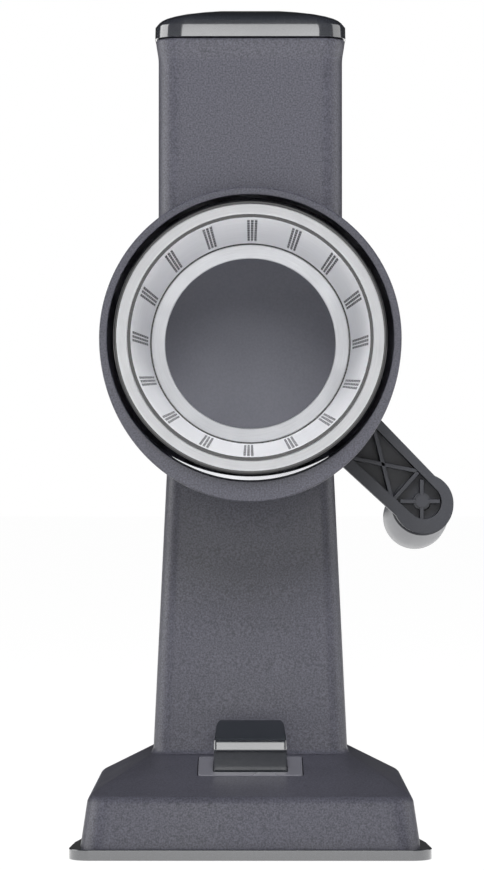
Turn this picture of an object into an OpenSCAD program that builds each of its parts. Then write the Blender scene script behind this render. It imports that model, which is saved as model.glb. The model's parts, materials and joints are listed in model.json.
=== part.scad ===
// Hand-cranked drum grater that stands on a suction foot.
// Millimetres. X is to the right, Y is away from the front and Z is up.
// The origin is the middle of the suction cup, on the table.

/* [Foot] */
// Width of the glossy lip at the front
foot_width = 139; // [125:1:170]
// Distance from the middle of the cup to the front of the lip
foot_front = 75; // [66:1:92]
// Distance from the middle of the cup to the back of the lip
foot_back = 70; // [66:1:86]
// Thickness of the lip
lip_height = 4.25; // [3:0.25:7]
// How far the lip stands out from the foot's shell
lip_overhang = 4.2; // [2:0.1:8]
// Height of the shoulder where the shell's walls turn into its roof
shoulder_height = 23.3; // [20:0.1:30]
// Rise of the roof from the shoulder to the column
roof_rise = 11.2; // [8:0.1:18]
// Inward lean of the shell's walls over their height
wall_lean = 2.8; // [1:0.1:5]
// Wall thickness of the foot's shell
foot_wall = 2.6; // [1.8:0.1:3.4]

/* [Column] */
// Width of the column where it stands on the foot
column_width = 78.6; // [66:1:90]
// Narrowing of the column's half width for each millimetre of height
column_taper = 0.047; // [0.02:0.001:0.08]
// Distance from the middle of the cup to the back of the column
column_back = 57; // [50:1:62]
// Backward lean of the column's front for each millimetre of height
column_lean = 0.046; // [0:0.002:0.08]
// Height of the column above the drum's axis
column_above_axis = 44; // [34:1:48]
// Radius of the column's upright edges
column_corner = 8; // [4:0.5:12]
// Wall thickness of the column
column_wall = 2.6; // [1.8:0.1:3.4]

/* [Drum housing] */
// Height of the drum and crank axis above the table
axis_height = 200; // [170:1:240]
// Outer radius of the housing's round rim
housing_radius = 58.8; // [56:0.1:66]
// Wall thickness of the housing at its rim
housing_wall = 3.1; // [2:0.1:4]
// Distance from the middle of the cup forward to the housing's rim
housing_front = 50; // [44:1:58]
// Distance from the middle of the cup back to the housing's rear face
housing_back = 20; // [18:1:26]
// How much lower the housing's underside lies at its rear
housing_drop = 5; // [1:0.1:6]
// Thickness of the housing's back wall
back_wall = 4; // [3:0.5:6]

/* [Chute] */
// Width of the food chute
chute_width = 72.4; // [62:0.2:78]
// Depth of the food chute from front to back
chute_depth = 55; // [46:1:58]
// Setback of the chute's front behind the housing's rim
chute_setback = 12; // [11:0.5:16]
// Height of the chute's mouth above the drum's axis
chute_rise = 118.2; // [100:0.2:145]
// Wall thickness of the chute
chute_wall = 3; // [2:0.1:4]
// Radius of the chute's upright edges
chute_corner = 9; // [5:0.5:12]

/* [Pusher] */
// Overhang of the pusher's cap past the chute
cap_overhang = 1.4; // [0.6:0.1:3]
// Height of the cap from its edge to the top of its dome
cap_height = 12.6; // [10:0.2:18]
// Radius of the dome across the cap
cap_dome_radius = 248; // [180:1:400]
// Clearance between the pusher's body and the chute
pusher_clearance = 0.6; // [0.3:0.1:1.2]
// Free height between the pusher and the drum's collar
pusher_standoff = 9; // [6:0.5:16]
// Wall thickness of the pusher
pusher_wall = 2.2; // [1.5:0.1:3]

/* [Drum] */
// Outer radius of the drum's dark collar
collar_radius = 53.1; // [50:0.1:54]
// Outer radius of the steel ring at the drum's mouth
ring_radius = 51.8; // [49:0.1:52.4]
// Inner radius of the steel ring
mouth_radius = 47.6; // [44:0.1:48.4]
// Inner radius of the drum's wall just behind its mouth
cone_front_radius = 46.4; // [43:0.1:47]
// Inner radius of the drum's wall at its far end
cone_back_radius = 40.6; // [36:0.1:42.5]
// Radius of the dark plate in the drum's far end, as seen from the front
plate_radius = 34.4; // [28:0.1:36]
// How far the drum's mouth stands forward of the housing's rim
drum_proud = 7; // [4:0.5:10]
// Depth of the drum from its mouth to its far end
drum_depth = 62; // [54:1:64]
// Thickness of the drum's sheet steel
sheet = 0.7; // [0.5:0.1:1]
// Number of rows of cutters around the drum
cutter_rows = 16; // [8:1:20]
// Number of cutter slots in each row
cutter_slots = 5; // [3:1:7]

/* [Crank] */
// Distance between the shaft and the grip's axle
crank_radius = 98.1; // [80:1:120]
// Angle of the arm below the horizontal, as it stands
crank_angle = 41.65; // [20:0.05:70]
// Thickness of the arm
arm_thickness = 12; // [9:0.5:16]
// Width of the arm at the shaft
arm_width_hub = 29.2; // [22:0.2:34]
// How far the arm's wide end is set off above the line from the shaft to the grip
arm_offset = 4.6; // [0:0.1:5]
// Width of the arm at the grip
arm_width_grip = 23.2; // [20:0.2:28]
// Radius of the arm's round end at the grip
arm_end_radius = 12.7; // [12.2:0.1:15]
// Thickness of the arm's walls
arm_wall = 4.8; // [2.5:0.1:5]
// Thickness of the arm's ribs
rib = 1.7; // [1.2:0.1:2.6]
// Radius of the drive shaft
shaft_radius = 6; // [5:0.25:7.5]
// Width across the shaft's square ends
square_width = 8; // [6.5:0.25:9]
// Gap between the column's back and the arm
arm_gap = 11; // [8:0.5:16]

/* [Grip] */
// Length of the grip
grip_length = 66; // [54:1:85]
// Radius of the grip at its far end
grip_radius = 14.1; // [12:0.1:17]
// Radius of the grip next to the arm
grip_neck_radius = 11; // [9:0.1:13]
// Droop of the grip's axle below the horizontal
grip_droop = 5.4; // [0:0.1:8]
// Radius of the grip's axle
grip_axle_radius = 3; // [2.5:0.1:4]

/* [Suction lever] */
// Width of the lever
lever_width = 28.8; // [22:0.2:36]
// Thickness of the lever's blade from front to back
lever_thickness = 10; // [8:0.5:12]
// Distance from the middle of the cup forward to the lever's front face
lever_front = 30; // [29:0.5:36]
// Height of the back edge of the lever's head above its pivot
lever_head_height = 31; // [24:0.2:36]
// Height of the lever's nose above its pivot
lever_nose_height = 22; // [19:0.2:27]
// Height of the lever's pivot above the table
lever_pivot_height = 19; // [18:0.25:20]
// Backward swing of the lever from rest to locked, in degrees
lever_throw = 30; // [22:1:36]
// Gap between the lever and the bezel on each side
lever_gap = 0.6; // [0.5:0.1:2]
// Width of the bezel's frame
bezel_frame = 5.6; // [4:0.2:9]

/* [Suction] */
// Radius of the rubber cup
cup_radius = 52; // [44:1:56]
// Thickness of the cup
cup_thickness = 2.6; // [2:0.1:3]
// Lift of the cup's middle when the lever is locked
cup_lift = 3.3; // [2:0.1:3.4]
// Radius of the plunger's stem
stem_radius = 5; // [4:0.25:6.5]

/* [Fits] */
// Radial clearance of a turning or sliding fit
running_fit = 0.05; // [0.03:0.01:0.1]
// Clearance of a fixed seat
seat_fit = 0.1; // [0.05:0.01:0.2]
// Gap between pieces that move past each other
body_gap = 0.3; // [0.2:0.05:0.6]

/* [Hidden] */
through = 1;
slice = 0.1;
overlap = 0.5;
round_detail = 96;
corner_detail = 40;

roof_top = shoulder_height + roof_rise;
column_front = 0;
column_top = axis_height + column_above_axis;
lip_radius = 8;
shell_corner = 10;
roof_corner = 9;
rim_width = 5;
shell_front = foot_front - lip_overhang;
shell_back = foot_back - lip_overhang;
shell_half = foot_width / 2 - lip_overhang;
lip_side_taper = 3;
lip_taper_start = 20;
lip_taper_end = 38;

housing_bore = housing_radius - housing_wall;
chute_front = -housing_front + chute_setback;
chute_top = axis_height + chute_rise;
chute_back = chute_front + chute_depth;
mouth_flare = 1;
mouth_flare_height = 9;

drum_front = -housing_front - drum_proud;
drum_end = drum_front + drum_depth;
collar_depth = 11;
ring_depth = 1.4;
plate_thickness = 3;
hub_radius = 12;
hub_length = 7;
socket_wall = 2;

tube_radius = 11;
bush_outer = 9;
bush_length = 8;
tube_back = column_back + 2;
seal_depth = 2.5;
seal_land = 3;
seal_setback = 0.5;
shaft_front = drum_end + plate_thickness + 0.5;
journal_front = drum_end + plate_thickness + hub_length + 1;

arm_near = column_back + arm_gap;
arm_far = arm_near + arm_thickness;
arm_floor = 3;
hub_boss = arm_near - tube_back - 1;
journal_back = arm_near - 2;
shaft_screw_length = 10;
grip_x = crank_radius * cos(crank_angle);
grip_z = axis_height - crank_radius * sin(crank_angle);
grip_start = arm_thickness / 2 + 1.4;
grip_end = grip_start + grip_length;
axle_flange = 0.8;
axle_root_radius = grip_axle_radius - 0.6;
axle_head_depth = 6;
knob_pocket_radius = 8;
knob_pocket_depth = 7;

plate_screw_setback = 12;
plate_screw_inset = 10;
column_screw_setback = 11;
column_screw_inset = 12;
cover_inset = column_wall + 4.5;
cover_bottom = roof_top + 8;
cover_top = column_top - 8;
cover_thickness = 2.6;
cover_rebate = 2.4;
cover_screw_inset = 5;

column_seat = 0.6;
roof_slope = atan(roof_rise / (shell_front - wall_lean - column_front - column_seat));
lever_heel = 4;
lever_pivot = -lever_front + lever_thickness - lever_heel;
nose_proud = 1.8;
nose_depth = 4;
lever_pin_radius = 2.5;
cam_pin_radius = 2;
cam_fall = 1.6;
cam_reach = (cup_lift - cam_fall * (1 - cos(lever_throw))) / sin(lever_throw);
ear_inner = lever_width / 2 + 1;
ear_thickness = 3;
ear_radius = norm([cam_reach, cam_fall]) - cam_pin_radius - 0.5;
fork_inner = ear_inner + ear_thickness + 1;
fork_thickness = 4;
slot_front = lever_front + 1;
slot_rise = roof_top - lever_pivot_height;
slot_back = lever_pivot + (lever_heel + 1 + slot_rise * sin(lever_throw)) / cos(lever_throw);
slot_length = slot_back + slot_front;
slot_middle = -slot_front + slot_length / 2;
bezel_thickness = 1.2;
bezel_margin = 4;
bezel_land = 2.5;
bezel_width = lever_width + 2 * lever_gap + 2 * bezel_frame;

plate_bottom = 3;
plate_top = 6;
boss_radius = 9;
cup_boss_top = 7;
flange_radius = 12;
flange_top = cup_boss_top + 2;
bridge_bottom = lever_pivot_height - 4.2;
bridge_top = bridge_bottom + 3;
fork_bottom = lever_pivot_height - cam_fall + cam_pin_radius + body_gap;
fork_top = fork_bottom + 3;
spring_wire = 0.3;
spring_turns = 2.5;

screw_radius = 1.6;
screw_head_radius = 3;
screw_head_height = 2;
plate_screw_length = 12;
head_depth = 1.2;
short_screw_length = 8;
washer_radius = 7;
washer_height = 1.2;

// A flat slab with rounded upright edges, between two X limits and two Y limits
module slab(half_x, front, back, radius, z0, height) {
    translate([0, (back + front) / 2, z0])
        linear_extrude(height)
            offset(r = radius, $fn = corner_detail)
                square([2 * (half_x - radius), back - front - 2 * radius], center = true);
}

// A cylinder along Y about the drum's axis, from y0 to y1
module drum_rod(radius, y0, y1) {
    translate([0, y1, axis_height])
        rotate([90, 0, 0])
            cylinder(r = radius, h = y1 - y0, $fn = round_detail);
}

// A ring along Y about the drum's axis
module drum_ring(outer, inner, y0, y1) {
    difference() {
        drum_rod(outer, y0, y1);
        drum_rod(inner, y0 - through, y1 + through);
    }
}

// A square bar along Y about the drum's axis
module drum_square(width, y0, y1) {
    translate([-width / 2, y0, axis_height - width / 2])
        cube([width, y1 - y0, width]);
}

// A cylinder along X
module cross_rod(radius, x0, x1, y, z) {
    translate([x0, y, z])
        rotate([0, 90, 0])
            cylinder(r = radius, h = x1 - x0, $fn = corner_detail);
}

// A pan-head screw that points along -Z, with the underside of its head at z = 0
module screw_down(length) {
    cylinder(r = screw_head_radius, h = screw_head_height, $fn = corner_detail);
    translate([0, 0, -length])
        cylinder(r = screw_radius, h = length + through / 2, $fn = corner_detail);
}

// The foot's outer form, pulled in by an inset on every side
module foot_form(inset, bottom) {
    hull() {
        slab(shell_half - inset, -shell_front + inset, shell_back - inset,
            shell_corner - inset, bottom, slice);
        slab(shell_half - wall_lean - inset, -shell_front + wall_lean + inset,
            shell_back - wall_lean - inset, shell_corner - inset,
            shoulder_height - inset - slice, slice);
        slab(column_width / 2 + column_seat - inset, column_front - column_seat + inset,
            column_back + column_seat - inset, roof_corner - inset,
            roof_top - inset - slice, slice);
    }
}

// Half width of the column at a height
function column_half(z) = column_width / 2 - column_taper * (z - roof_top);

// The column's outer form, pulled in by an inset; its back can run past the real back
module column_form(inset, back, top) {
    hull() {
        slab(column_half(roof_top) - inset, column_front + inset, back,
            column_corner - inset, roof_top, slice);
        slab(column_half(top) - inset, column_front + column_lean * (top - roof_top) + inset, back,
            column_corner - inset, top - slice, slice);
    }
}

// The housing's outer form: a round rim whose underside falls towards the rear
module housing_form(grow) {
    hull() {
        drum_rod(housing_radius + grow, -housing_front, housing_back + grow);
        translate([0, 0, -housing_drop])
            drum_rod(housing_radius + grow, housing_back + grow - slice, housing_back + grow);
    }
}

// Places a child on the foot's front slope, with its middle at a Y and its top along +Z
module on_roof(y) {
    translate([0, y, roof_top + (y - column_front + column_seat) * tan(roof_slope)])
        rotate([roof_slope, 0, 0])
            children();
}

// Positions of the four screws in the foot's plate
module at_plate_screws() {
    for (x = [-1, 1])
        for (y = [-shell_front + plate_screw_setback, shell_back - plate_screw_setback])
            translate([x * (shell_half - plate_screw_inset), y, 0])
                children();
}

// Positions of the four screws that hold the column
module at_column_screws() {
    for (x = [-1, 1])
        for (y = [column_front + column_screw_setback, column_back - column_screw_setback])
            translate([x * (column_width / 2 - column_screw_inset), y, 0])
                children();
}

// Positions of the four screws in the rear cover, turned to point along -Y
module at_cover_screws() {
    for (z = [cover_bottom + cover_screw_inset + 4, cover_top - cover_screw_inset - 2])
        for (side = [-1, 1])
            translate([side * (column_half(z) - cover_inset - cover_screw_inset), column_back, z])
                rotate([-90, 0, 0])
                    children();
}

module base_shell() {
    post_radius = 4;
    color("dimgray")
        difference() {
            union() {
                difference() {
                    foot_form(0, lip_height);
                    foot_form(foot_wall, lip_height - through);
                }
                at_plate_screws()
                    translate([0, 0, plate_top])
                        cylinder(r = post_radius, h = shoulder_height - plate_top - overlap,
                            $fn = corner_detail);
            }
            on_roof(slot_middle)
                cube([bezel_width - 2 * bezel_land, slot_length + 2 * (bezel_margin - bezel_land),
                    3 * foot_wall], center = true);
            at_plate_screws()
                cylinder(r = screw_radius + seat_fit, h = plate_top + plate_screw_length,
                    $fn = corner_detail);
            at_column_screws()
                translate([0, 0, roof_top - 2 * foot_wall])
                    cylinder(r = screw_radius + seat_fit, h = 3 * foot_wall, $fn = corner_detail);
        }
}

module base_trim_ring() {
    color("slategray")
        difference() {
            hull() {
                slab(foot_width / 2, -foot_front, -foot_front + lip_taper_start, lip_radius,
                    0, lip_height);
                slab(foot_width / 2 - lip_side_taper, -foot_front + lip_taper_end, foot_back,
                    lip_radius, 0, lip_height);
            }
            slab(shell_half - rim_width, -shell_front + rim_width, shell_back - rim_width,
                shell_corner, -through, lip_height + 2 * through);
        }
}

module base_plate() {
    gap = foot_wall + 2;
    plate_corner = 6;
    ear_middle = ear_inner + ear_thickness / 2;
    color("darkslategray")
        difference() {
            union() {
                slab(shell_half - gap, -shell_front + gap, shell_back - gap,
                    plate_corner, lip_height + seat_fit, plate_top - lip_height - seat_fit);
                slab(shell_half - rim_width - seat_fit, -shell_front + rim_width + seat_fit,
                    shell_back - rim_width - seat_fit, shell_corner - seat_fit, plate_bottom,
                    lip_height - plate_bottom + overlap);
                for (side = [-1, 1])
                    hull() {
                        cross_rod(ear_radius, side * ear_middle - ear_thickness / 2,
                            side * ear_middle + ear_thickness / 2, lever_pivot, lever_pivot_height);
                        translate([side * ear_middle - ear_thickness / 2,
                            lever_pivot - ear_radius, plate_top - overlap])
                            cube([ear_thickness, 2 * ear_radius, 2 * overlap]);
                    }
            }
            cylinder(r = flange_radius + 2, h = plate_top * 3, center = true, $fn = round_detail);
            cross_rod(lever_pin_radius + seat_fit, -shell_half, shell_half,
                lever_pivot, lever_pivot_height);
            at_plate_screws()
                cylinder(r = screw_radius + seat_fit, h = plate_top * 3, center = true,
                    $fn = corner_detail);
            at_plate_screws()
                translate([0, 0, -through])
                    cylinder(r = screw_head_radius + seat_fit,
                        h = plate_bottom + through + head_depth, $fn = corner_detail);
        }
}

module base_plate_screws() {
    color("silver")
        at_plate_screws()
            translate([0, 0, plate_bottom + head_depth])
                mirror([0, 0, 1])
                    screw_down(plate_screw_length);
}

module suction_cup() {
    rim_step = 6;
    rim_drop = 0.8;
    color("black")
        union() {
            cylinder(r = cup_radius, h = cup_thickness - rim_drop, $fn = round_detail);
            cylinder(r = cup_radius - rim_step, h = cup_thickness, $fn = round_detail);
            cylinder(r = boss_radius, h = cup_boss_top, $fn = round_detail);
        }
}

module lever_bezel() {
    tongue = 2;
    color("gray")
        on_roof(slot_middle)
            difference() {
                union() {
                    translate([0, 0, bezel_thickness / 2])
                        cube([bezel_width, slot_length + 2 * bezel_margin, bezel_thickness],
                            center = true);
                    translate([0, 0, seat_fit - tongue / 2])
                        cube([bezel_width - 2 * bezel_land - 2 * seat_fit,
                            slot_length + 2 * (bezel_margin - bezel_land) - 2 * seat_fit, tongue],
                            center = true);
                }
                cube([lever_width + 2 * lever_gap, slot_length, 4 * foot_wall], center = true);
            }
}

module lever_pin() {
    color("silver")
        cross_rod(lever_pin_radius, -ear_inner - ear_thickness, ear_inner + ear_thickness,
            lever_pivot, lever_pivot_height);
}

// The lever's foot around its two pins, seen from the side with the pivot at the origin
module lever_foot() {
    foot_radius = 5.2;
    cam_boss = cam_pin_radius + 2.4;
    hull() {
        circle(r = foot_radius, $fn = corner_detail);
        translate([-cam_reach, -cam_fall])
            circle(r = cam_boss, $fn = corner_detail);
    }
}

// The lever's blade and head, seen from the side with the pivot at the origin
module lever_blade() {
    face = -lever_front - lever_pivot;
    face_lean = 1.5;
    nose = face - nose_proud;
    round = 1;
    back = lever_heel;
    head_back = back + 1;
    head_drop = 7;
    polygon([[face, 0], [face, round], [face + face_lean, lever_nose_height - nose_depth],
        [nose, lever_nose_height - nose_depth + round], [nose, lever_nose_height],
        [nose + round, lever_nose_height + round],
        [head_back - round, lever_head_height], [head_back, lever_head_height - round],
        [head_back, lever_head_height - head_drop], [back, lever_head_height - head_drop - round],
        [back, 0]]);
}

module suction_lever() {
    color("darkslategray")
        difference() {
            translate([-lever_width / 2, lever_pivot, lever_pivot_height])
                rotate([90, 0, 90])
                    union() {
                        linear_extrude(lever_width)
                            lever_blade();
                        linear_extrude(lever_width)
                            lever_foot();
                    }
            cross_rod(lever_pin_radius + running_fit, -lever_width, lever_width,
                lever_pivot, lever_pivot_height);
            cross_rod(cam_pin_radius + seat_fit, -lever_width, lever_width,
                lever_pivot - cam_reach, lever_pivot_height - cam_fall);
        }
}

module cam_pin() {
    color("silver")
        cross_rod(cam_pin_radius, -fork_inner - fork_thickness, fork_inner + fork_thickness,
            lever_pivot - cam_reach, lever_pivot_height - cam_fall);
}

module suction_plunger() {
    fork_front = lever_pivot - cam_reach - 3;
    arm_half = 8;
    color("darkgray")
        union() {
            translate([0, 0, cup_boss_top])
                cylinder(r = flange_radius, h = flange_top - cup_boss_top, $fn = round_detail);
            translate([0, 0, flange_top - overlap])
                cylinder(r = stem_radius, h = fork_top - flange_top + overlap, $fn = round_detail);
            translate([-fork_inner - fork_thickness, -arm_half, fork_bottom])
                cube([2 * (fork_inner + fork_thickness), 1.5 * arm_half, fork_top - fork_bottom]);
            for (side = [-1, 1])
                translate([side * (fork_inner + fork_thickness / 2) - fork_thickness / 2,
                    fork_front, fork_bottom])
                    cube([fork_thickness, -fork_front, fork_top - fork_bottom]);
        }
}

module plunger_bridge() {
    post_x = flange_radius + 8;
    post_width = 6;
    post_front = 3;
    post_depth = 10;
    beam_front = -1;
    guide_radius = stem_radius + 3;
    color("gray")
        difference() {
            union() {
                translate([-post_x - post_width / 2, beam_front, bridge_bottom])
                    cube([2 * post_x + post_width, post_front + post_depth - beam_front,
                        bridge_top - bridge_bottom]);
                translate([0, 0, bridge_bottom])
                    cylinder(r = guide_radius, h = bridge_top - bridge_bottom, $fn = round_detail);
                for (side = [-1, 1])
                    translate([side * post_x - post_width / 2, post_front, plate_top])
                        cube([post_width, post_depth, bridge_top - plate_top]);
            }
            translate([0, 0, bridge_bottom - through])
                cylinder(r = stem_radius + running_fit, h = bridge_top - bridge_bottom + 2 * through,
                    $fn = round_detail);
        }
}

module release_spring() {
    coil_radius = stem_radius + spring_wire + body_gap;
    low = flange_top + spring_wire;
    high = bridge_bottom - spring_wire;
    steps = 20;
    sides = 8;
    rings = spring_turns * steps;
    points = [for (i = [0 : rings], k = [0 : sides - 1])
        let (turn = 360 * i / steps, around = 360 * k / sides,
            reach = coil_radius + spring_wire * cos(around))
        [reach * cos(turn), reach * sin(turn),
            low + (high - low) * i / rings + spring_wire * sin(around)]];
    walls = [for (i = [0 : rings - 1], k = [0 : sides - 1])
        let (next = (k + 1) % sides)
        [i * sides + k, i * sides + next, (i + 1) * sides + next, (i + 1) * sides + k]];
    first = [[for (k = [0 : sides - 1]) sides - 1 - k]];
    last = [[for (k = [0 : sides - 1]) rings * sides + k]];
    color("silver")
        polyhedron(points, concat(first, walls, last));
}

module column_shell() {
    color("dimgray")
        difference() {
            column_form(0, column_back, column_top);
            difference() {
                column_form(column_wall, column_back + column_wall, column_top - column_wall);
                translate([-column_width, column_back - cover_thickness - cover_rebate, 0])
                    cube([2 * column_width, column_back, 2 * column_top]);
            }
            cover_form(-seat_fit, cover_thickness + cover_rebate + through);
            housing_form(seat_fit);
        }
}

// The rear cover's form, pulled in by an inset, reaching a depth in from the column's back
module cover_form(inset, depth) {
    hull() {
        translate([0, 0, cover_bottom + inset])
            cover_strip(column_half(cover_bottom) - cover_inset - inset, depth);
        translate([0, 0, cover_top - inset - slice])
            cover_strip(column_half(cover_top) - cover_inset - inset, depth);
    }
}

module cover_strip(half, depth) {
    translate([-half, column_back - depth, 0])
        cube([2 * half, depth, slice]);
}

module rear_cover() {
    color("dimgray")
        difference() {
            cover_form(0, cover_thickness);
            drum_rod(tube_radius + seat_fit, 0, column_back + through);
            at_cover_screws()
                translate([0, 0, -2 * cover_thickness])
                    cylinder(r = screw_radius + seat_fit, h = 3 * cover_thickness,
                        $fn = corner_detail);
        }
}

module rear_cover_screws() {
    color("silver")
        at_cover_screws()
            screw_down(short_screw_length);
}

module column_screws() {
    color("silver")
        at_column_screws()
            translate([0, 0, roof_top - foot_wall])
                mirror([0, 0, 1])
                    screw_down(short_screw_length);
}

module drum_housing() {
    hole_radius = tube_radius - seal_land;
    color("dimgray")
        difference() {
            housing_form(0);
            drum_rod(housing_bore, -housing_front - through, housing_back - back_wall);
            drum_rod(hole_radius, 0, housing_back + through);
            slab(chute_width / 2 - chute_wall, chute_front + chute_wall, chute_back - chute_wall,
                chute_corner - chute_wall, axis_height, chute_rise);
        }
}

module hopper_chute() {
    root = 20;
    color("dimgray")
        difference() {
            union() {
                slab(chute_width / 2, chute_front, chute_back, chute_corner,
                    axis_height + root, chute_rise - root);
                hull() {
                    slab(chute_width / 2, chute_front, chute_back, chute_corner,
                        chute_top - mouth_flare_height, slice);
                    slab(chute_width / 2 + mouth_flare, chute_front - mouth_flare,
                        chute_back + mouth_flare, chute_corner + mouth_flare,
                        chute_top - slice, slice);
                }
            }
            slab(chute_width / 2 - chute_wall, chute_front + chute_wall, chute_back - chute_wall,
                chute_corner - chute_wall, axis_height, chute_rise + through);
            drum_rod(housing_radius + seat_fit, -housing_front - through, housing_back + through);
        }
}

module pusher_cap() {
    edge = 9;
    plan_corner = chute_corner + cap_overhang + 1;
    half = chute_width / 2 + cap_overhang;
    color("slategray")
        translate([0, 0, chute_top + body_gap])
            intersection() {
                slab(half, chute_front - cap_overhang, chute_back + cap_overhang, plan_corner,
                    0, cap_height);
                translate([0, chute_back + chute_depth, 0])
                    rotate([90, 0, 0])
                        linear_extrude(3 * chute_depth)
                            intersection() {
                                translate([0, cap_height - cap_dome_radius])
                                    circle(r = cap_dome_radius, $fn = round_detail);
                                offset(r = edge, $fn = corner_detail)
                                    translate([-half + edge, -edge])
                                        square([2 * (half - edge), cap_height]);
                            }
            }
}

module pusher_body() {
    out = chute_wall + pusher_clearance;
    bottom = axis_height + collar_radius + pusher_standoff;
    color("darkgray")
        difference() {
            slab(chute_width / 2 - out, chute_front + out, chute_back - out, chute_corner - out,
                bottom, chute_top + body_gap - bottom);
            slab(chute_width / 2 - out - pusher_wall, chute_front + out + pusher_wall,
                chute_back - out - pusher_wall, chute_corner - out - pusher_wall,
                bottom + pusher_wall, chute_rise);
        }
}

module bearing_tube() {
    flange = 17;
    flange_depth = 3;
    color("darkslategray")
        difference() {
            union() {
                drum_rod(flange, housing_back, housing_back + flange_depth);
                drum_rod(tube_radius, housing_back + flange_depth - overlap, tube_back);
            }
            drum_rod(bush_outer, housing_back - through, housing_back + bush_length);
            drum_rod(shaft_radius + 1, 0, tube_back + through);
            drum_rod(bush_outer, tube_back - bush_length, tube_back + through);
        }
}

module front_bush() {
    color("goldenrod")
        drum_ring(bush_outer - seat_fit, shaft_radius + running_fit,
            housing_back, housing_back + bush_length - seat_fit);
}

module rear_bush() {
    color("goldenrod")
        drum_ring(bush_outer - seat_fit, shaft_radius + running_fit,
            tube_back - bush_length + seat_fit, tube_back);
}

module shaft_seal() {
    color("black")
        drum_ring(tube_radius - seal_land - seat_fit, shaft_radius + running_fit,
            housing_back - back_wall + seal_setback,
            housing_back - back_wall + seal_setback + seal_depth);
}

module drum_retaining_clip() {
    half_angle = 34;
    clip_inner = collar_radius + 1.2;
    clip_front = -housing_front + 1;
    clip_depth = 8;
    reach = 2 * housing_radius;
    color("lightgray")
        intersection() {
            drum_ring(housing_bore - seat_fit, clip_inner, clip_front, clip_front + clip_depth);
            translate([0, clip_front + clip_depth + through, axis_height])
                rotate([90, 0, 0])
                    linear_extrude(clip_depth + 2 * through)
                        polygon([[0, 0], [-reach * tan(half_angle), -reach],
                            [reach * tan(half_angle), -reach]]);
        }
}

module drive_shaft() {
    color("silver")
        difference() {
            union() {
                drum_square(square_width, shaft_front, journal_front + 2);
                drum_rod(shaft_radius, journal_front, journal_back);
                drum_square(square_width, journal_back - overlap, arm_far - arm_floor);
            }
            drum_rod(screw_radius + seat_fit, arm_far - arm_floor - shaft_screw_length - 4,
                arm_far + through);
        }
}

// The arm lies along +X from the shaft, in the plane of its own outline
module arm_outline(inset) {
    hull() {
        translate([0, arm_offset])
            circle(r = arm_width_hub / 2 - inset, $fn = corner_detail);
        translate([crank_radius, 0])
            circle(r = arm_width_grip / 2 - inset, $fn = corner_detail);
    }
}

module on_crank(y) {
    translate([0, y, axis_height])
        rotate([90, 0, 0])
            rotate([0, 0, -crank_angle])
                children();
}

// Crossed ribs in three cells of the arm's pocket, with a rib across it between cells
module arm_ribs() {
    pocket_start = arm_width_hub / 2 + 4;
    pocket_end = crank_radius - 10.6;
    cells = 3;
    cell = (pocket_end - pocket_start) / cells;
    for (i = [0 : cells])
        translate([pocket_start + i * cell - rib / 2, -arm_width_hub])
            square([rib, 2 * arm_width_hub]);
    for (i = [0 : cells - 1])
        for (tilt = [-1, 1])
            translate([pocket_start + (i + 0.5) * cell, arm_offset * (1 - (i + 0.5) / cells)])
                rotate([0, 0, tilt * atan2(arm_width_grip - 2 * arm_wall, cell)])
                    square([2 * cell, rib], center = true);
}

module grip_axis() {
    translate([grip_x, arm_near + arm_thickness / 2, grip_z])
        rotate([-90 - grip_droop, 0, 0])
            children();
}

module crank_arm() {
    boss = 5;
    hub_margin = 3;
    rib_setback = 1.5;
    color("darkslategray")
        difference() {
            union() {
                on_crank(arm_far)
                    linear_extrude(arm_floor)
                        arm_outline(0);
                on_crank(arm_far)
                    linear_extrude(arm_thickness)
                        difference() {
                            union() {
                                arm_outline(0);
                                translate([crank_radius, 0])
                                    circle(r = arm_end_radius, $fn = corner_detail);
                            }
                            difference() {
                                arm_outline(arm_wall);
                                circle(r = square_width + arm_wall, $fn = corner_detail);
                            }
                        }
                on_crank(arm_far)
                    linear_extrude(arm_thickness - rib_setback)
                        intersection() {
                            arm_outline(arm_wall / 2);
                            union() {
                                arm_ribs();
                                translate([crank_radius, 0])
                                    circle(r = boss, $fn = corner_detail);
                                for (turn = [0, 90])
                                    translate([crank_radius, 0])
                                        rotate([0, 0, turn + crank_angle])
                                            square([arm_width_grip, rib], center = true);
                            }
                        }
                drum_rod(shaft_radius + hub_margin + 1, arm_near - hub_boss, arm_near + overlap);
            }
            drum_square(square_width + 2 * running_fit, 0, arm_far - arm_floor + 2 * seat_fit);
            drum_rod(shaft_radius + seat_fit, 0, journal_back);
            drum_rod(screw_radius + seat_fit, 0, arm_far + through);
            grip_axis()
                translate([0, 0, -arm_thickness])
                    cylinder(r = axle_root_radius + seat_fit, h = 3 * arm_thickness,
                        $fn = corner_detail);
        }
}

module crank_screw() {
    color("silver")
        translate([0, arm_far + seat_fit, axis_height])
            rotate([-90, 0, 0]) {
                cylinder(r = washer_radius, h = washer_height, $fn = corner_detail);
                translate([0, 0, washer_height])
                    screw_down(washer_height + arm_floor + shaft_screw_length);
            }
}

module knob_axle() {
    head_radius = 6;
    head_height = 2;
    color("silver")
        grip_axis()
            union() {
                translate([0, 0, -arm_thickness / 2 + 2])
                    cylinder(r = axle_root_radius, h = arm_thickness, $fn = corner_detail);
                translate([0, 0, grip_start - axle_flange])
                    cylinder(r = grip_axle_radius, h = grip_length - axle_head_depth + axle_flange,
                        $fn = corner_detail);
                translate([0, 0, grip_end - axle_head_depth])
                    cylinder(r = head_radius, h = head_height, $fn = corner_detail);
            }
}

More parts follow.
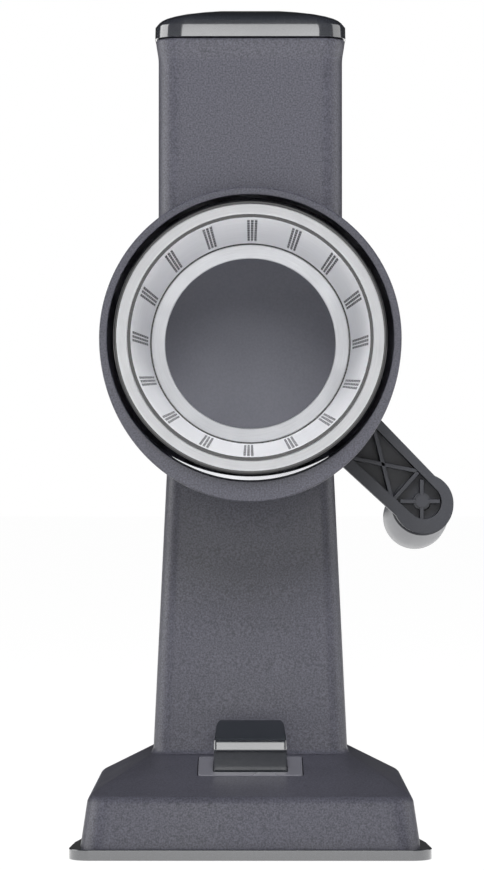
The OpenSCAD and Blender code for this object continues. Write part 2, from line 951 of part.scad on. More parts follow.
module crank_knob() {
    bore = grip_axle_radius + running_fit;
    round = 1.4;
    color("silver")
        grip_axis()
            rotate_extrude($fn = round_detail)
                polygon([[bore, grip_start], [grip_neck_radius - round, grip_start],
                    [grip_neck_radius, grip_start + round],
                    [(grip_neck_radius + grip_radius) / 2, grip_start + 0.4 * grip_length],
                    [grip_radius, grip_end - 0.2 * grip_length], [grip_radius, grip_end - round],
                    [grip_radius - round, grip_end], [knob_pocket_radius, grip_end],
                    [knob_pocket_radius, grip_end - knob_pocket_depth],
                    [bore, grip_end - knob_pocket_depth]]);
}

module knob_end_cap() {
    thickness = 2;
    color("lightgray")
        grip_axis()
            translate([0, 0, grip_end - thickness - 2 * seat_fit])
                cylinder(r = knob_pocket_radius - seat_fit, h = thickness, $fn = corner_detail);
}

module drum_cone() {
    wall_start = drum_front + ring_depth;
    slope_length = drum_end - wall_start;
    slot_width = 5;
    slot_height = 1.2;
    first_slot = 12;
    slot_pitch = (slope_length - 2 * first_slot) / (cutter_slots - 1);
    color("silver")
        difference() {
            translate([0, wall_start, axis_height])
                rotate([-90, 0, 0])
                    rotate_extrude($fn = round_detail)
                        polygon([[cone_front_radius, 0], [cone_front_radius + sheet, 0],
                            [cone_back_radius + sheet, slope_length],
                            [cone_back_radius, slope_length]]);
            for (row = [0 : cutter_rows - 1])
                for (slot = [0 : cutter_slots - 1])
                    translate([0, wall_start + first_slot + slot * slot_pitch, axis_height])
                        rotate([0, row * 360 / cutter_rows, 0])
                            translate([-slot_width / 2, -slot_height / 2, cone_back_radius - 1])
                                cube([slot_width, slot_height,
                                    cone_front_radius - cone_back_radius + 4 * sheet]);
        }
}

module drum_front_ring() {
    step = 0.7;
    color("silver")
        union() {
            drum_ring(ring_radius, mouth_radius, drum_front, drum_front + ring_depth);
            drum_ring(mouth_radius + step, cone_front_radius, drum_front + step,
                drum_front + ring_depth);
        }
}

module drum_collar() {
    lip = 1;
    setback = 0.6;
    color("black")
        difference() {
            drum_rod(collar_radius, drum_front + setback, drum_front + collar_depth);
            drum_rod(ring_radius + seat_fit, drum_front - through, drum_front + ring_depth);
            drum_rod(cone_front_radius + sheet + lip, drum_front, drum_front + collar_depth + through);
        }
}

module drum_back_ring() {
    color("silver")
        drum_ring(cone_back_radius + sheet, plate_radius, drum_end, drum_end + 1);
}

module drum_back_plate() {
    plate_outer = cone_back_radius - 1;
    color("dimgray")
        difference() {
            union() {
                drum_rod(plate_radius - seat_fit, drum_end, drum_end + plate_thickness);
                drum_rod(plate_outer, drum_end + 1, drum_end + plate_thickness);
                drum_rod(hub_radius, drum_end + 1, drum_end + plate_thickness + hub_length);
            }
            drum_square(square_width + 2 * running_fit + 2 * socket_wall,
                drum_end + plate_thickness, drum_end + plate_thickness + hub_length + through);
        }
}

module drum_socket() {
    color("silver")
        difference() {
            drum_square(square_width + 2 * running_fit + 2 * socket_wall - seat_fit,
                drum_end + plate_thickness, drum_end + plate_thickness + hub_length);
            drum_square(square_width + 2 * running_fit,
                drum_end + plate_thickness - through, drum_end + plate_thickness + hub_length + through);
        }
}

base_shell();
base_trim_ring();
base_plate();
base_plate_screws();
suction_cup();
lever_bezel();
lever_pin();
plunger_bridge();
column_shell();
column_screws();
rear_cover();
rear_cover_screws();
drum_housing();
hopper_chute();
bearing_tube();
front_bush();
rear_bush();
shaft_seal();
drum_retaining_clip();
drive_shaft();
crank_arm();
crank_screw();
knob_axle();
drum_cone();
drum_front_ring();
drum_collar();
drum_back_ring();
drum_back_plate();
drum_socket();
crank_knob();
knob_end_cap();
pusher_cap();
pusher_body();
suction_lever();
cam_pin();
suction_plunger();
release_spring();
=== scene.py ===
"""Looks of a hand-cranked drum grater on a suction foot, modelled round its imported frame."""

import json
import math

import bpy
from mathutils import Matrix, Vector


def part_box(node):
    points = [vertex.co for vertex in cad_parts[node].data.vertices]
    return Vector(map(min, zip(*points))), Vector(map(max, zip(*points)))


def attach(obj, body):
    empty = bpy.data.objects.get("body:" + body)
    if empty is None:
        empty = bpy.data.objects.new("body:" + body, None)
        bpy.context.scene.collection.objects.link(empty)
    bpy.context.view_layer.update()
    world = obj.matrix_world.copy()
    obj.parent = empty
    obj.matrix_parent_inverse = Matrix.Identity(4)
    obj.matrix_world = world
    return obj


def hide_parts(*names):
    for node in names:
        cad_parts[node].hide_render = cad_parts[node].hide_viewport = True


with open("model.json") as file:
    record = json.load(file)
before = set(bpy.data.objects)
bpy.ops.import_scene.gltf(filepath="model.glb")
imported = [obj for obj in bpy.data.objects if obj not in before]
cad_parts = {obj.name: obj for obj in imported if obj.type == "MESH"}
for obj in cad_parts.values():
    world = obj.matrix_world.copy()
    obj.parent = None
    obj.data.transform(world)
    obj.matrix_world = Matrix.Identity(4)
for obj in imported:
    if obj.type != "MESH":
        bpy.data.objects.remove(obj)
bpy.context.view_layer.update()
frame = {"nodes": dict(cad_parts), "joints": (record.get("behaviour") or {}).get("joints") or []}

bl_info = {
    "name": "Drum grater",
    "version": (1, 0, 0),
    "blender": (4, 5, 0),
    "location": "3D View > Sidebar > Grater",
    "description": "Models the shell, drum, crank, pusher and suction foot of a drum grater",
    "category": "Add Mesh",
}

MM = 0.001
FULL = 2 * math.pi

# ---------------------------------------------------------------- places taken from the frame

RING_LOW, RING_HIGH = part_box("drum_front_ring")
AXIS_Z = (RING_LOW.z + RING_HIGH.z) / 2
DRUM_FRONT = RING_LOW.y
HOUSING_LOW, HOUSING_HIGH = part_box("drum_housing")
RIM_Y = HOUSING_LOW.y
HOUSING_BACK = HOUSING_HIGH.y
HOUSING_RADIUS = HOUSING_HIGH.x
COLUMN_LOW, COLUMN_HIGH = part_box("column_shell")
CHUTE_LOW, CHUTE_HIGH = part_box("hopper_chute")
SHELL_LOW, SHELL_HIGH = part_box("base_shell")
LIP_LOW, LIP_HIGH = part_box("base_trim_ring")
CAP_LOW, CAP_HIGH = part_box("pusher_cap")
CONE_LOW, CONE_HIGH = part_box("drum_cone")
ARM_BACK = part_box("crank_arm")[1].y
JOINTS = {joint["name"]: joint for joint in frame["joints"]}
GRIP_AXIS = Vector(JOINTS["grip_spin"]["axis"]).normalized()
GRIP_CENTRE = Vector(JOINTS["grip_spin"]["pos_m"])
LEVER_PIVOT = Vector(JOINTS["lever_swing"]["pos_m"])


def size(name, description, millimetres):
    """A length that the user can change."""
    return bpy.props.FloatProperty(
        name=name, description=description, default=millimetres * MM, min=0.0, unit="LENGTH"
    )


def number(name, description, default):
    """A plain number that the user can change."""
    return bpy.props.FloatProperty(name=name, description=description, default=default)


def count(name, description, default):
    """A whole number that the user can change."""
    return bpy.props.IntProperty(name=name, description=description, default=default, min=1)


def colour(name, description, red, green, blue):
    """A colour that the user can change, in linear light."""
    return bpy.props.FloatVectorProperty(
        name=name,
        description=description,
        default=(red, green, blue, 1.0),
        size=4,
        min=0.0,
        max=1.0,
        subtype="COLOR",
    )


# ---------------------------------------------------------------- sizes and colours


class ShellSizes(bpy.types.PropertyGroup):
    """Sizes of the foot, the column, the drum housing and the chute."""

    lip_height: size("Lip height", "Thickness of the glossy lip", 4.25)
    lip_corner: size("Lip corner", "Radius of the lip's corners", 8.0)
    lip_taper: size("Lip taper", "How much narrower the lip is behind its front", 3.0)
    shell_corner: size("Foot corner", "Radius of the foot's upright edges", 10.0)
    shoulder: size("Shoulder height", "Height where the foot's walls turn into its roof", 23.3)
    wall_lean: size("Wall lean", "Inward lean of the foot's walls", 2.8)
    shoulder_round: size("Shoulder round", "Radius of the foot's shoulder at its front", 3.4)
    column_corner: size("Column corner", "Radius of the column's upright edges", 8.0)
    column_taper: number("Column taper", "Loss of half width for each unit of height", 0.047)
    column_lean: number("Column lean", "Backward lean of the front for each unit of height", 0.046)
    column_flare: size("Column flare", "Outward flare where the column meets the foot", 1.2)
    column_crown: size("Column crown", "Rounding of the column's top edge", 5.0)
    wall: size("Wall", "Wall thickness of the mouldings", 2.6)
    rim: size("Rim", "Width of the housing's front rim", 3.1)
    drop: size("Drop", "How much lower the housing's underside lies than a round one", 4.9)
    chute_corner: size("Chute corner", "Radius of the chute's upright edges", 9.0)
    chute_wall: size("Chute wall", "Wall thickness of the chute", 3.0)
    mouth_flare: size("Mouth flare", "Outward flare of the chute's mouth", 1.0)
    mouth_flare_height: size("Mouth flare height", "Height of the flare", 9.0)


class DrumSizes(bpy.types.PropertyGroup):
    """Sizes of the drum's parts."""

    ring_outer: size("Ring outer", "Outer radius of the steel ring", 51.8)
    mouth: size("Mouth", "Inner radius of the steel ring", 47.6)
    cone_front: size("Cone front", "Inner radius of the wall at the mouth", 46.4)
    cone_back: size("Cone back", "Inner radius of the wall at the far end", 40.6)
    plate: size("Plate", "Radius of the dark plate", 34.4)
    collar: size("Collar", "Outer radius of the dark collar", 53.1)
    collar_depth: size("Collar depth", "Depth of the dark collar", 11.0)
    sheet: size("Sheet", "Thickness of the steel", 0.7)
    wall_sheet: size("Wall sheet", "Thickness of the perforated wall", 0.35)
    groups: count("Groups", "Groups of perforations round the drum", 16)
    divisions: count("Divisions", "Strips in the wall between two groups", 12)
    columns: count("Columns", "Columns of perforations in a group", 3)
    rows: count("Rows", "Rows of perforations along the wall", 10)
    hole_length: size("Hole length", "Length of a perforation along the wall", 1.4)
    plate_dome: size("Plate dome", "Forward bulge of the dark plate", 1.0)


class CrankSizes(bpy.types.PropertyGroup):
    """Sizes of the crank arm and the grip."""

    length: size("Arm length", "Distance between the shaft and the grip's axle", 98.1)
    drop_angle: number("Arm angle", "Degrees that the arm stands below the horizontal", 41.65)
    thickness: size("Arm thickness", "Thickness of the arm", 12.0)
    hub_half: size("Hub half width", "Half width of the arm at the shaft", 14.6)
    offset: size("Arm offset", "How far the wide end is set off above the line to the grip", 4.6)
    end_half: size("End half width", "Half width of the arm at the grip", 11.6)
    end_radius: size("End radius", "Radius of the round end at the grip", 12.7)
    wall: size("Arm wall", "Thickness of the arm's side walls", 4.8)
    rib: size("Rib", "Thickness of the ribs", 1.7)
    boss: size("Boss", "Radius of the small boss at the grip's axle", 2.7)
    collar: size("Collar", "Radius of the collar round the boss, deeper in the pocket", 3.6)
    pocket: size("Pocket", "Depth of the arm's open pocket", 10.6)
    grip_start: size("Grip start", "Start of the grip along its axle", 7.4)
    grip_end: size("Grip end", "End of the grip along its axle", 73.4)
    grip_neck: size("Grip neck", "Radius of the grip next to the arm", 11.0)
    grip_radius: size("Grip radius", "Radius of the grip at its far end", 14.1)


class LeverSizes(bpy.types.PropertyGroup):
    """Sizes of the suction lever and its bezel."""

    width: size("Lever width", "Width of the lever", 28.8)
    round: size("Lever round", "Radius of the lever's edges", 1.2)
    corner: size("Lever corner", "Radius of the head's upper corners", 3.2)
    frame: size("Bezel frame", "Width of the bezel beside the slot", 5.95)
    margin: size("Bezel margin", "Width of the bezel before and behind the slot", 4.0)


class Finishes(bpy.types.PropertyGroup):
    """Colours of the object's materials."""

    moulding: colour("Moulding", "Speckled body moulding", 0.064, 0.064, 0.081)
    gloss: colour("Gloss", "Glossy lip and cap", 0.022, 0.024, 0.030)
    crank: colour("Crank", "Crank arm", 0.036, 0.038, 0.047)
    inner: colour("Inner", "Hidden mouldings", 0.060, 0.060, 0.066)
    lever: colour("Lever", "Suction lever", 0.022, 0.025, 0.030)
    bezel: colour("Bezel", "Lever bezel", 0.165, 0.165, 0.190)
    steel: colour("Steel", "Brushed steel", 0.700, 0.706, 0.722)
    collar: colour("Collar", "Drum collar", 0.006, 0.006, 0.007)
    clip: colour("Clip", "Blackened clip", 0.300, 0.303, 0.315)
    wall_steel: colour("Wall steel", "Steel of the drum's wall", 0.900, 0.905, 0.930)
    # Partly the plate's own dark plastic, partly painted shade: set darker for the shadow that the drum's
    # rim casts on it.
    plate: colour("Plate", "Drum back plate", 0.112, 0.113, 0.129)
    grip: colour("Grip", "Crank grip", 0.128, 0.131, 0.147)
    rubber: colour("Rubber", "Suction cup", 0.018, 0.018, 0.019)
    bronze: colour("Bronze", "Bushes", 0.500, 0.330, 0.150)


SETTINGS = {
    "grater_shell": ShellSizes,
    "grater_drum": DrumSizes,
    "grater_crank": CrankSizes,
    "grater_lever": LeverSizes,
    "grater_finishes": Finishes,
}

# ---------------------------------------------------------------- modelling helpers


def deselect():
    """Object mode with nothing selected."""
    if bpy.context.object and bpy.context.object.mode != "OBJECT":
        bpy.ops.object.mode_set(mode="OBJECT")
    bpy.ops.object.select_all(action="DESELECT")


def activate(piece):
    """Makes one piece the only selected and active one."""
    deselect()
    piece.select_set(True)
    bpy.context.view_layer.objects.active = piece


def arc(centre_a, centre_b, radius, start, end, steps):
    """Points of an arc in a plane, its angles in degrees."""
    angles = [math.radians(start + (end - start) * i / steps) for i in range(steps + 1)]
    return [(centre_a + radius * math.cos(t), centre_b + radius * math.sin(t)) for t in angles]


def rounded_rectangle(half, front, back, radius, steps=8):
    """Outline of a rectangle with round corners, from its half width and its two Y limits."""
    corners = (
        (half - radius, front + radius, -90),
        (half - radius, back - radius, 0),
        (radius - half, back - radius, 90),
        (radius - half, front + radius, 180),
    )
    points = []
    for across, along, start in corners:
        points += arc(across, along, radius, start, start + 90, steps)
    return points


def draw(name, points):
    """A new mesh in edit mode: one vertex extruded from point to point."""
    deselect()
    bpy.ops.mesh.primitive_plane_add(size=1.0, location=(0, 0, 0))
    piece = bpy.context.object
    piece.name = piece.data.name = name
    bpy.ops.object.mode_set(mode="EDIT")
    bpy.ops.mesh.select_all(action="SELECT")
    bpy.ops.mesh.merge(type="CENTER")
    bpy.ops.transform.translate(value=points[0])
    for here, there in zip(points, points[1:]):
        bpy.ops.mesh.extrude_vertices_move(TRANSFORM_OT_translate={"value": there - here})
    bpy.ops.mesh.select_all(action="SELECT")
    return piece


def face_from(name, points):
    """A new mesh in edit mode: one face inside a drawn outline, selected."""
    piece = draw(name, points)
    bpy.ops.mesh.edge_face_add()
    return piece


def extrude(offset):
    """Extrudes the selected faces by an offset."""
    bpy.ops.mesh.extrude_region_move(TRANSFORM_OT_translate={"value": offset})


def close_up(piece):
    """Merges doubles, turns the faces outwards and leaves edit mode."""
    if piece.mode != "EDIT":
        activate(piece)
        bpy.ops.object.mode_set(mode="EDIT")
    bpy.ops.mesh.select_all(action="SELECT")
    bpy.ops.mesh.remove_doubles(threshold=1e-6)
    bpy.ops.mesh.normals_make_consistent(inside=False)
    bpy.ops.object.mode_set(mode="OBJECT")
    return piece


def prism(name, outline, lift, offset):
    """A closed block: an outline's points lifted into space by a function, extruded by an offset."""
    piece = face_from(name, [lift(a, b) for a, b in outline])
    extrude(offset)
    return close_up(piece)


def upright(height):
    """A lift that lays an outline flat at a height."""
    return lambda across, along: Vector((across, along, height))


def facing(depth):
    """A lift that stands an outline up at a Y, its second value being the height."""
    return lambda across, height: Vector((across, depth, height))


def loft(name, sections, corner, steps=8):
    """A closed block through level rounded rectangles, each (height, half width, front, back)."""
    height, half, front, back = sections[0]
    piece = face_from(
        name, [Vector((a, b, height)) for a, b in rounded_rectangle(half, front, back, corner, steps)]
    )
    for level, wide, near, far in sections[1:]:
        middle = (front + back) / 2
        extrude((0, (near + far) / 2 - middle, level - height))
        bpy.ops.transform.resize(
            value=(wide / half, (far - near) / (back - front), 1.0),
            center_override=(0, (near + far) / 2, level),
        )
        height, half, front, back = level, wide, near, far
    return close_up(piece)


def lathe(name, profile, centre, axis, across, steps=128, closed=True):
    """A turned piece: (radius, distance along the axis) points spun round the axis."""
    points = [centre + across * radius + axis * along for radius, along in profile]
    if closed:
        points.append(points[0])
    piece = draw(name, points)
    bpy.ops.mesh.spin(steps=steps, angle=FULL, center=centre, axis=axis)
    return close_up(piece)


def drum_lathe(name, profile, steps=128, closed=True):
    """A turned piece on the drum's axis: (radius, Y) points."""
    centre = Vector((0, 0, AXIS_Z))
    return lathe(name, profile, centre, Vector((0, 1, 0)), Vector((0, 0, 1)), steps, closed)


def modify(piece, kind, **values):
    """Adds one modifier, sets it and applies it."""
    activate(piece)
    modifier = piece.modifiers.new(kind.title(), kind)
    for key, value in values.items():
        setattr(modifier, key, value)
    bpy.ops.object.modifier_apply(modifier=modifier.name)
    return piece


def bevel(piece, width, segments=3, angle=35.0):
    """Rounds every edge sharper than an angle."""
    return modify(
        piece,
        "BEVEL",
        width=width,
        segments=segments,
        limit_method="ANGLE",
        angle_limit=math.radians(angle),
        use_clamp_overlap=True,
    )


def combine(piece, tool, operation="DIFFERENCE"):
    """Cuts, joins or crosses a piece with a tool, and removes the tool."""
    modify(piece, "BOOLEAN", object=tool, operation=operation, solver="EXACT")
    bpy.data.objects.remove(tool)
    return piece


def join(pieces):
    """Makes one object of several, named after the first."""
    deselect()
    for piece in pieces:
        piece.select_set(True)
    bpy.context.view_layer.objects.active = pieces[0]
    bpy.ops.object.join()
    return pieces[0]


def hand_in(piece, body, slot, material, *nodes, smooth=38.0):
    """Shades a finished piece, gives it its material and ties it to the frame."""
    activate(piece)
    bpy.ops.object.shade_smooth_by_angle(angle=math.radians(smooth))
    modify(piece, "WEIGHTED_NORMAL", keep_sharp=True)
    piece.data.materials.clear()
    piece.data.materials.append(material)
    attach(piece, body)
    if nodes:
        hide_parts(*nodes)
    return piece


def hand_in_moulding(piece, node, smooth=38.0):
    """Hands in a piece of the speckled body in place of one node."""
    hand_in(piece, "grater_body", "body_moulding", MATERIALS["body_moulding"], node, smooth=smooth)


# ---------------------------------------------------------------- shader helpers


class Shader:
    """A small pen for one node tree."""

    def __init__(self, tree):
        self.tree = tree

    def node(self, kind, **values):
        """A new node with some of its settings."""
        made = self.tree.nodes.new(kind)
        for key, value in values.items():
            setattr(made, key, value)
        return made

    def feed(self, socket, value):
        """Links a socket or sets a constant on an input."""
        if isinstance(value, bpy.types.NodeSocket):
            self.tree.links.new(value, socket)
        elif value is not None:
            socket.default_value = value

    def math(self, operation, first, second=None, third=None):
        """A math node's value."""
        made = self.node("ShaderNodeMath", operation=operation)
        for index, value in enumerate((first, second, third)):
            self.feed(made.inputs[index], value)
        return made.outputs[0]

    def noise(self, vector, scale, detail=2.0, roughness=0.5):
        """A noise texture's value."""
        made = self.node("ShaderNodeTexNoise")
        self.feed(made.inputs["Vector"], vector)
        self.feed(made.inputs["Scale"], scale)
        self.feed(made.inputs["Detail"], detail)
        self.feed(made.inputs["Roughness"], roughness)
        return made.outputs[0]

    def spread(self, value, low, high, to_low, to_high):
        """A value mapped from one range to another, held at its ends."""
        made = self.node("ShaderNodeMapRange")
        for index, item in enumerate((value, low, high, to_low, to_high)):
            self.feed(made.inputs[index], item)
        return made.outputs[0]

    def blend(self, factor, first, second):
        """A mix of two colours."""
        made = self.node("ShaderNodeMix", data_type="RGBA")
        self.feed(made.inputs[0], factor)
        self.feed(made.inputs[6], first)
        self.feed(made.inputs[7], second)
        return made.outputs[2]


def new_group(name, inputs, outputs):
    """An empty node group with named number, vector and colour sockets."""
    tree = bpy.data.node_groups.new(name, "ShaderNodeTree")
    kinds = {"n": "NodeSocketFloat", "v": "NodeSocketVector", "c": "NodeSocketColor"}
    for label, kind, default in inputs:
        socket = tree.interface.new_socket(label, in_out="INPUT", socket_type=kinds[kind])
        if default is not None:
            socket.default_value = default
    for label, kind in outputs:
        tree.interface.new_socket(label, in_out="OUTPUT", socket_type=kinds[kind])
    pen = Shader(tree)
    return pen, pen.node("NodeGroupInput"), pen.node("NodeGroupOutput")


def speckle_group():
    """Fine moulded grain: speckled colour, uneven roughness and a low relief."""
    pen, given, result = new_group(
        "moulded_speckle",
        (
            ("Vector", "v", None),
            ("Base", "c", (0.1, 0.1, 0.1, 1.0)),
            ("Grain", "n", 1500.0),
            ("Contrast", "n", 0.3),
            ("Roughness", "n", 0.55),
        ),
        (("Color", "c"), ("Roughness", "n"), ("Height", "n")),
    )
    fine = pen.noise(given.outputs["Vector"], given.outputs["Grain"], 2.0, 0.6)
    broad = pen.noise(given.outputs["Vector"], 26.0, 2.0, 0.5)
    flecks = pen.spread(fine, 0.34, 0.66, -1.0, 1.0)
    drift = pen.spread(broad, 0.3, 0.7, -0.06, 0.06)
    gain = pen.math("MULTIPLY", flecks, given.outputs["Contrast"])
    gain = pen.math("ADD", pen.math("ADD", gain, drift), 1.0)
    scaled = pen.node("ShaderNodeVectorMath", operation="SCALE")
    pen.feed(scaled.inputs[0], given.outputs["Base"])
    pen.feed(scaled.inputs["Scale"], gain)
    pen.feed(result.inputs["Color"], scaled.outputs[0])
    uneven = pen.spread(broad, 0.3, 0.7, -0.05, 0.05)
    pen.feed(result.inputs["Roughness"], pen.math("ADD", given.outputs["Roughness"], uneven))
    pen.feed(result.inputs["Height"], fine)
    return pen.tree


def turned_group():
    """Brushing that runs round the Y axis through the origin of its vector."""
    pen, given, result = new_group(
        "turned_brushing",
        (
            ("Vector", "v", None),
            ("Base", "c", (0.6, 0.6, 0.6, 1.0)),
            ("Lines", "n", 5200.0),
            ("Roughness", "n", 0.3),
        ),
        (("Color", "c"), ("Roughness", "n"), ("Height", "n")),
    )
    parts = pen.node("ShaderNodeSeparateXYZ")
    pen.feed(parts.inputs[0], given.outputs["Vector"])
    square = pen.math("MULTIPLY", parts.outputs["X"], parts.outputs["X"])
    square = pen.math("MULTIPLY_ADD", parts.outputs["Z"], parts.outputs["Z"], square)
    radius = pen.math("SQRT", square)
    turn = pen.math("ARCTAN2", parts.outputs["Z"], parts.outputs["X"])
    packed = pen.node("ShaderNodeCombineXYZ")
    pen.feed(packed.inputs["X"], pen.math("ADD", radius, parts.outputs["Y"]))
    pen.feed(packed.inputs["Y"], pen.math("MULTIPLY", turn, 0.0006))
    lines = pen.noise(packed.outputs[0], given.outputs["Lines"], 3.0, 0.7)
    streaks = pen.noise(given.outputs["Vector"], 90.0, 2.0, 0.6)
    gain = pen.spread(lines, 0.3, 0.7, 0.88, 1.08)
    scaled = pen.node("ShaderNodeVectorMath", operation="SCALE")
    pen.feed(scaled.inputs[0], given.outputs["Base"])
    pen.feed(scaled.inputs["Scale"], gain)
    pen.feed(result.inputs["Color"], scaled.outputs[0])
    rough = pen.spread(lines, 0.3, 0.7, -0.07, 0.07)
    rough = pen.math("ADD", rough, pen.spread(streaks, 0.3, 0.7, -0.04, 0.04))
    pen.feed(result.inputs["Roughness"], pen.math("ADD", given.outputs["Roughness"], rough))
    pen.feed(result.inputs["Height"], lines)
    return pen.tree


def handling_group():
    """Faint smears and fine dust that break up a glossy finish."""
    pen, given, result = new_group(
        "handling_marks",
        (
            ("Vector", "v", None),
            ("Base", "c", (0.1, 0.1, 0.1, 1.0)),
            ("Roughness", "n", 0.2),
            ("Dust", "n", 0.02),
        ),
        (("Color", "c"), ("Roughness", "n"), ("Height", "n")),
    )
    smears = pen.noise(given.outputs["Vector"], 45.0, 4.0, 0.6)
    specks = pen.noise(given.outputs["Vector"], 2600.0, 2.0, 0.5)
    rough = pen.spread(smears, 0.35, 0.75, -0.02, 0.07)
    dust = pen.spread(specks, 0.62, 0.72, 0.0, 1.0)
    dust = pen.math("MULTIPLY", dust, given.outputs["Dust"])
    tone = pen.blend(dust, given.outputs["Base"], (0.5, 0.5, 0.5, 1.0))
    pen.feed(result.inputs["Color"], tone)
    pen.feed(result.inputs["Roughness"], pen.math("ADD", given.outputs["Roughness"], rough))
    pen.feed(result.inputs["Height"], smears)
    return pen.tree


def mouth_facing_shade_group():
    """A mask of the narrow cut faces that look along the Y axis, out of the drum's mouth, where a material
    paints shade.
    """
    pen, given, result = new_group("mouth_facing_shade", (("Normal", "v", None),), (("Mask", "n"),))
    parts = pen.node("ShaderNodeSeparateXYZ")
    pen.feed(parts.inputs[0], given.outputs["Normal"])
    pen.feed(result.inputs["Mask"], pen.spread(parts.outputs["Y"], -0.7, -0.4, 1.0, 0.0))
    return pen.tree


GROUPS = {}
MATERIALS = {}


def surface(name, group, base, relief=0.0, centre=None, mouth_facing_shade=False, **values):
    """A material: one effect group feeding a Principled BSDF; other values are set on its sockets."""
    material = bpy.data.materials.new(name)
    material.use_nodes = True
    tree = material.node_tree
    tree.nodes.clear()
    pen = Shader(tree)
    place = pen.node("ShaderNodeTexCoord").outputs["Object"]
    if centre is not None:
        mapping = pen.node("ShaderNodeMapping")
        pen.feed(mapping.inputs["Vector"], place)
        mapping.inputs["Location"].default_value = -centre
        place = mapping.outputs[0]
    effect = pen.node("ShaderNodeGroup", node_tree=GROUPS[group])
    pen.feed(effect.inputs["Vector"], place)
    effect.inputs["Base"].default_value = tuple(base)
    principled = pen.node("ShaderNodeBsdfPrincipled")
    for key, value in values.items():
        label = key.replace("_", " ").title().replace("Ior", "IOR")
        target = effect if label in effect.inputs else principled
        target.inputs[label].default_value = value
    tone = effect.outputs["Color"]
    # Painted shade: where asked, faces that look out of the drum's mouth are blended to a dark grey.
    if mouth_facing_shade:
        mask = pen.node("ShaderNodeGroup", node_tree=GROUPS["edges"])
        pen.feed(mask.inputs["Normal"], pen.node("ShaderNodeTexCoord").outputs["Normal"])
        tone = pen.blend(mask.outputs["Mask"], tone, (0.16, 0.16, 0.17, 1.0))
    pen.feed(principled.inputs["Base Color"], tone)
    pen.feed(principled.inputs["Roughness"], effect.outputs["Roughness"])
    if relief:
        bump = pen.node("ShaderNodeBump")
        bump.inputs["Distance"].default_value = relief
        bump.inputs["Strength"].default_value = 1.0
        pen.feed(bump.inputs["Height"], effect.outputs["Height"])
        pen.feed(principled.inputs["Normal"], bump.outputs[0])
    output = pen.node("ShaderNodeOutputMaterial")
    pen.feed(output.inputs["Surface"], principled.outputs[0])
    MATERIALS[name] = material
    return material


class GRATER_OT_finishes(bpy.types.Operator):
    """Make the materials of the grater"""

    bl_idname = "grater.finishes"
    bl_label = "Finishes"

    def execute(self, context):
        tone = context.scene.grater_finishes
        GROUPS.update(speckle=speckle_group(), turned=turned_group(), handled=handling_group())
        GROUPS["edges"] = mouth_facing_shade_group()
        drum_centre = Vector((0, 0, AXIS_Z))
        surface(
            "body_moulding", "speckle", tone.moulding, relief=0.00006, grain=1500.0,
            contrast=0.42, roughness=0.42, specular_ior_level=0.5,
        )
        surface(
            "crank_moulding", "speckle", tone.crank, relief=0.00002, grain=1700.0,
            contrast=0.08, roughness=0.42, specular_ior_level=0.45,
        )
        surface(
            "inner_moulding", "speckle", tone.inner, relief=0.00003, grain=900.0,
            contrast=0.1, roughness=0.55,
        )
        surface(
            "grip_moulding", "speckle", tone.grip, relief=0.00002, grain=1900.0,
            contrast=0.06, roughness=0.38,
        )
        surface(
            "rubber", "speckle", tone.rubber, relief=0.00004, grain=700.0,
            contrast=0.2, roughness=0.7, specular_ior_level=0.3,
        )
        # The back plate: dark plastic whose colour is partly painted shade for the shadow inside the drum.
        surface(
            "drum_plate", "speckle", tone.plate, relief=0.00001, grain=1100.0,
            contrast=0.05, roughness=0.62, specular_ior_level=0.05,
        )
        surface(
            "bronze", "turned", tone.bronze, relief=0.00001, centre=drum_centre,
            roughness=0.4, metallic=1.0,
        )
        surface(
            "drum_ring_steel", "turned", tone.steel, relief=0.000006, centre=drum_centre,
            lines=5200.0, roughness=0.64, metallic=1.0,
        )
        # The wall's faces that look out of the mouth, its front edge and the sides of its perforations, get
        # painted shade.
        surface(
            "drum_wall_steel", "turned", tone.wall_steel, relief=0.000004, centre=drum_centre,
            mouth_facing_shade=True, lines=2600.0, roughness=0.5, metallic=0.0,
        )
        surface(
            "drum_far_steel", "turned", tone.steel, relief=0.000006, centre=drum_centre,
            lines=5200.0, roughness=0.55, metallic=1.0,
        )
        surface(
            "clip_steel", "handled", tone.clip, relief=0.000002, roughness=0.22, dust=0.01,
            metallic=1.0,
        )
        surface(
            "pin_steel", "handled", tone.steel, relief=0.000004, roughness=0.28, metallic=1.0,
        )
        surface(
            "gloss_moulding", "handled", tone.gloss, relief=0.000004, roughness=0.16,
            dust=0.012, specular_ior_level=1.0, coat_weight=1.0, coat_roughness=0.08, coat_ior=1.8,
        )
        surface(
            "lever_moulding", "handled", tone.lever, relief=0.000004, roughness=0.2,
            dust=0.012, specular_ior_level=1.0, coat_weight=1.0, coat_roughness=0.1, coat_ior=1.8,
        )
        surface(
            "bezel_moulding", "handled", tone.bezel, relief=0.000004, roughness=0.24, dust=0.02,
        )
        surface(
            "collar_moulding", "handled", tone.collar, relief=0.000003, roughness=0.12, dust=0.006,
        )
        return {"FINISHED"}


# ---------------------------------------------------------------- pieces of the shell


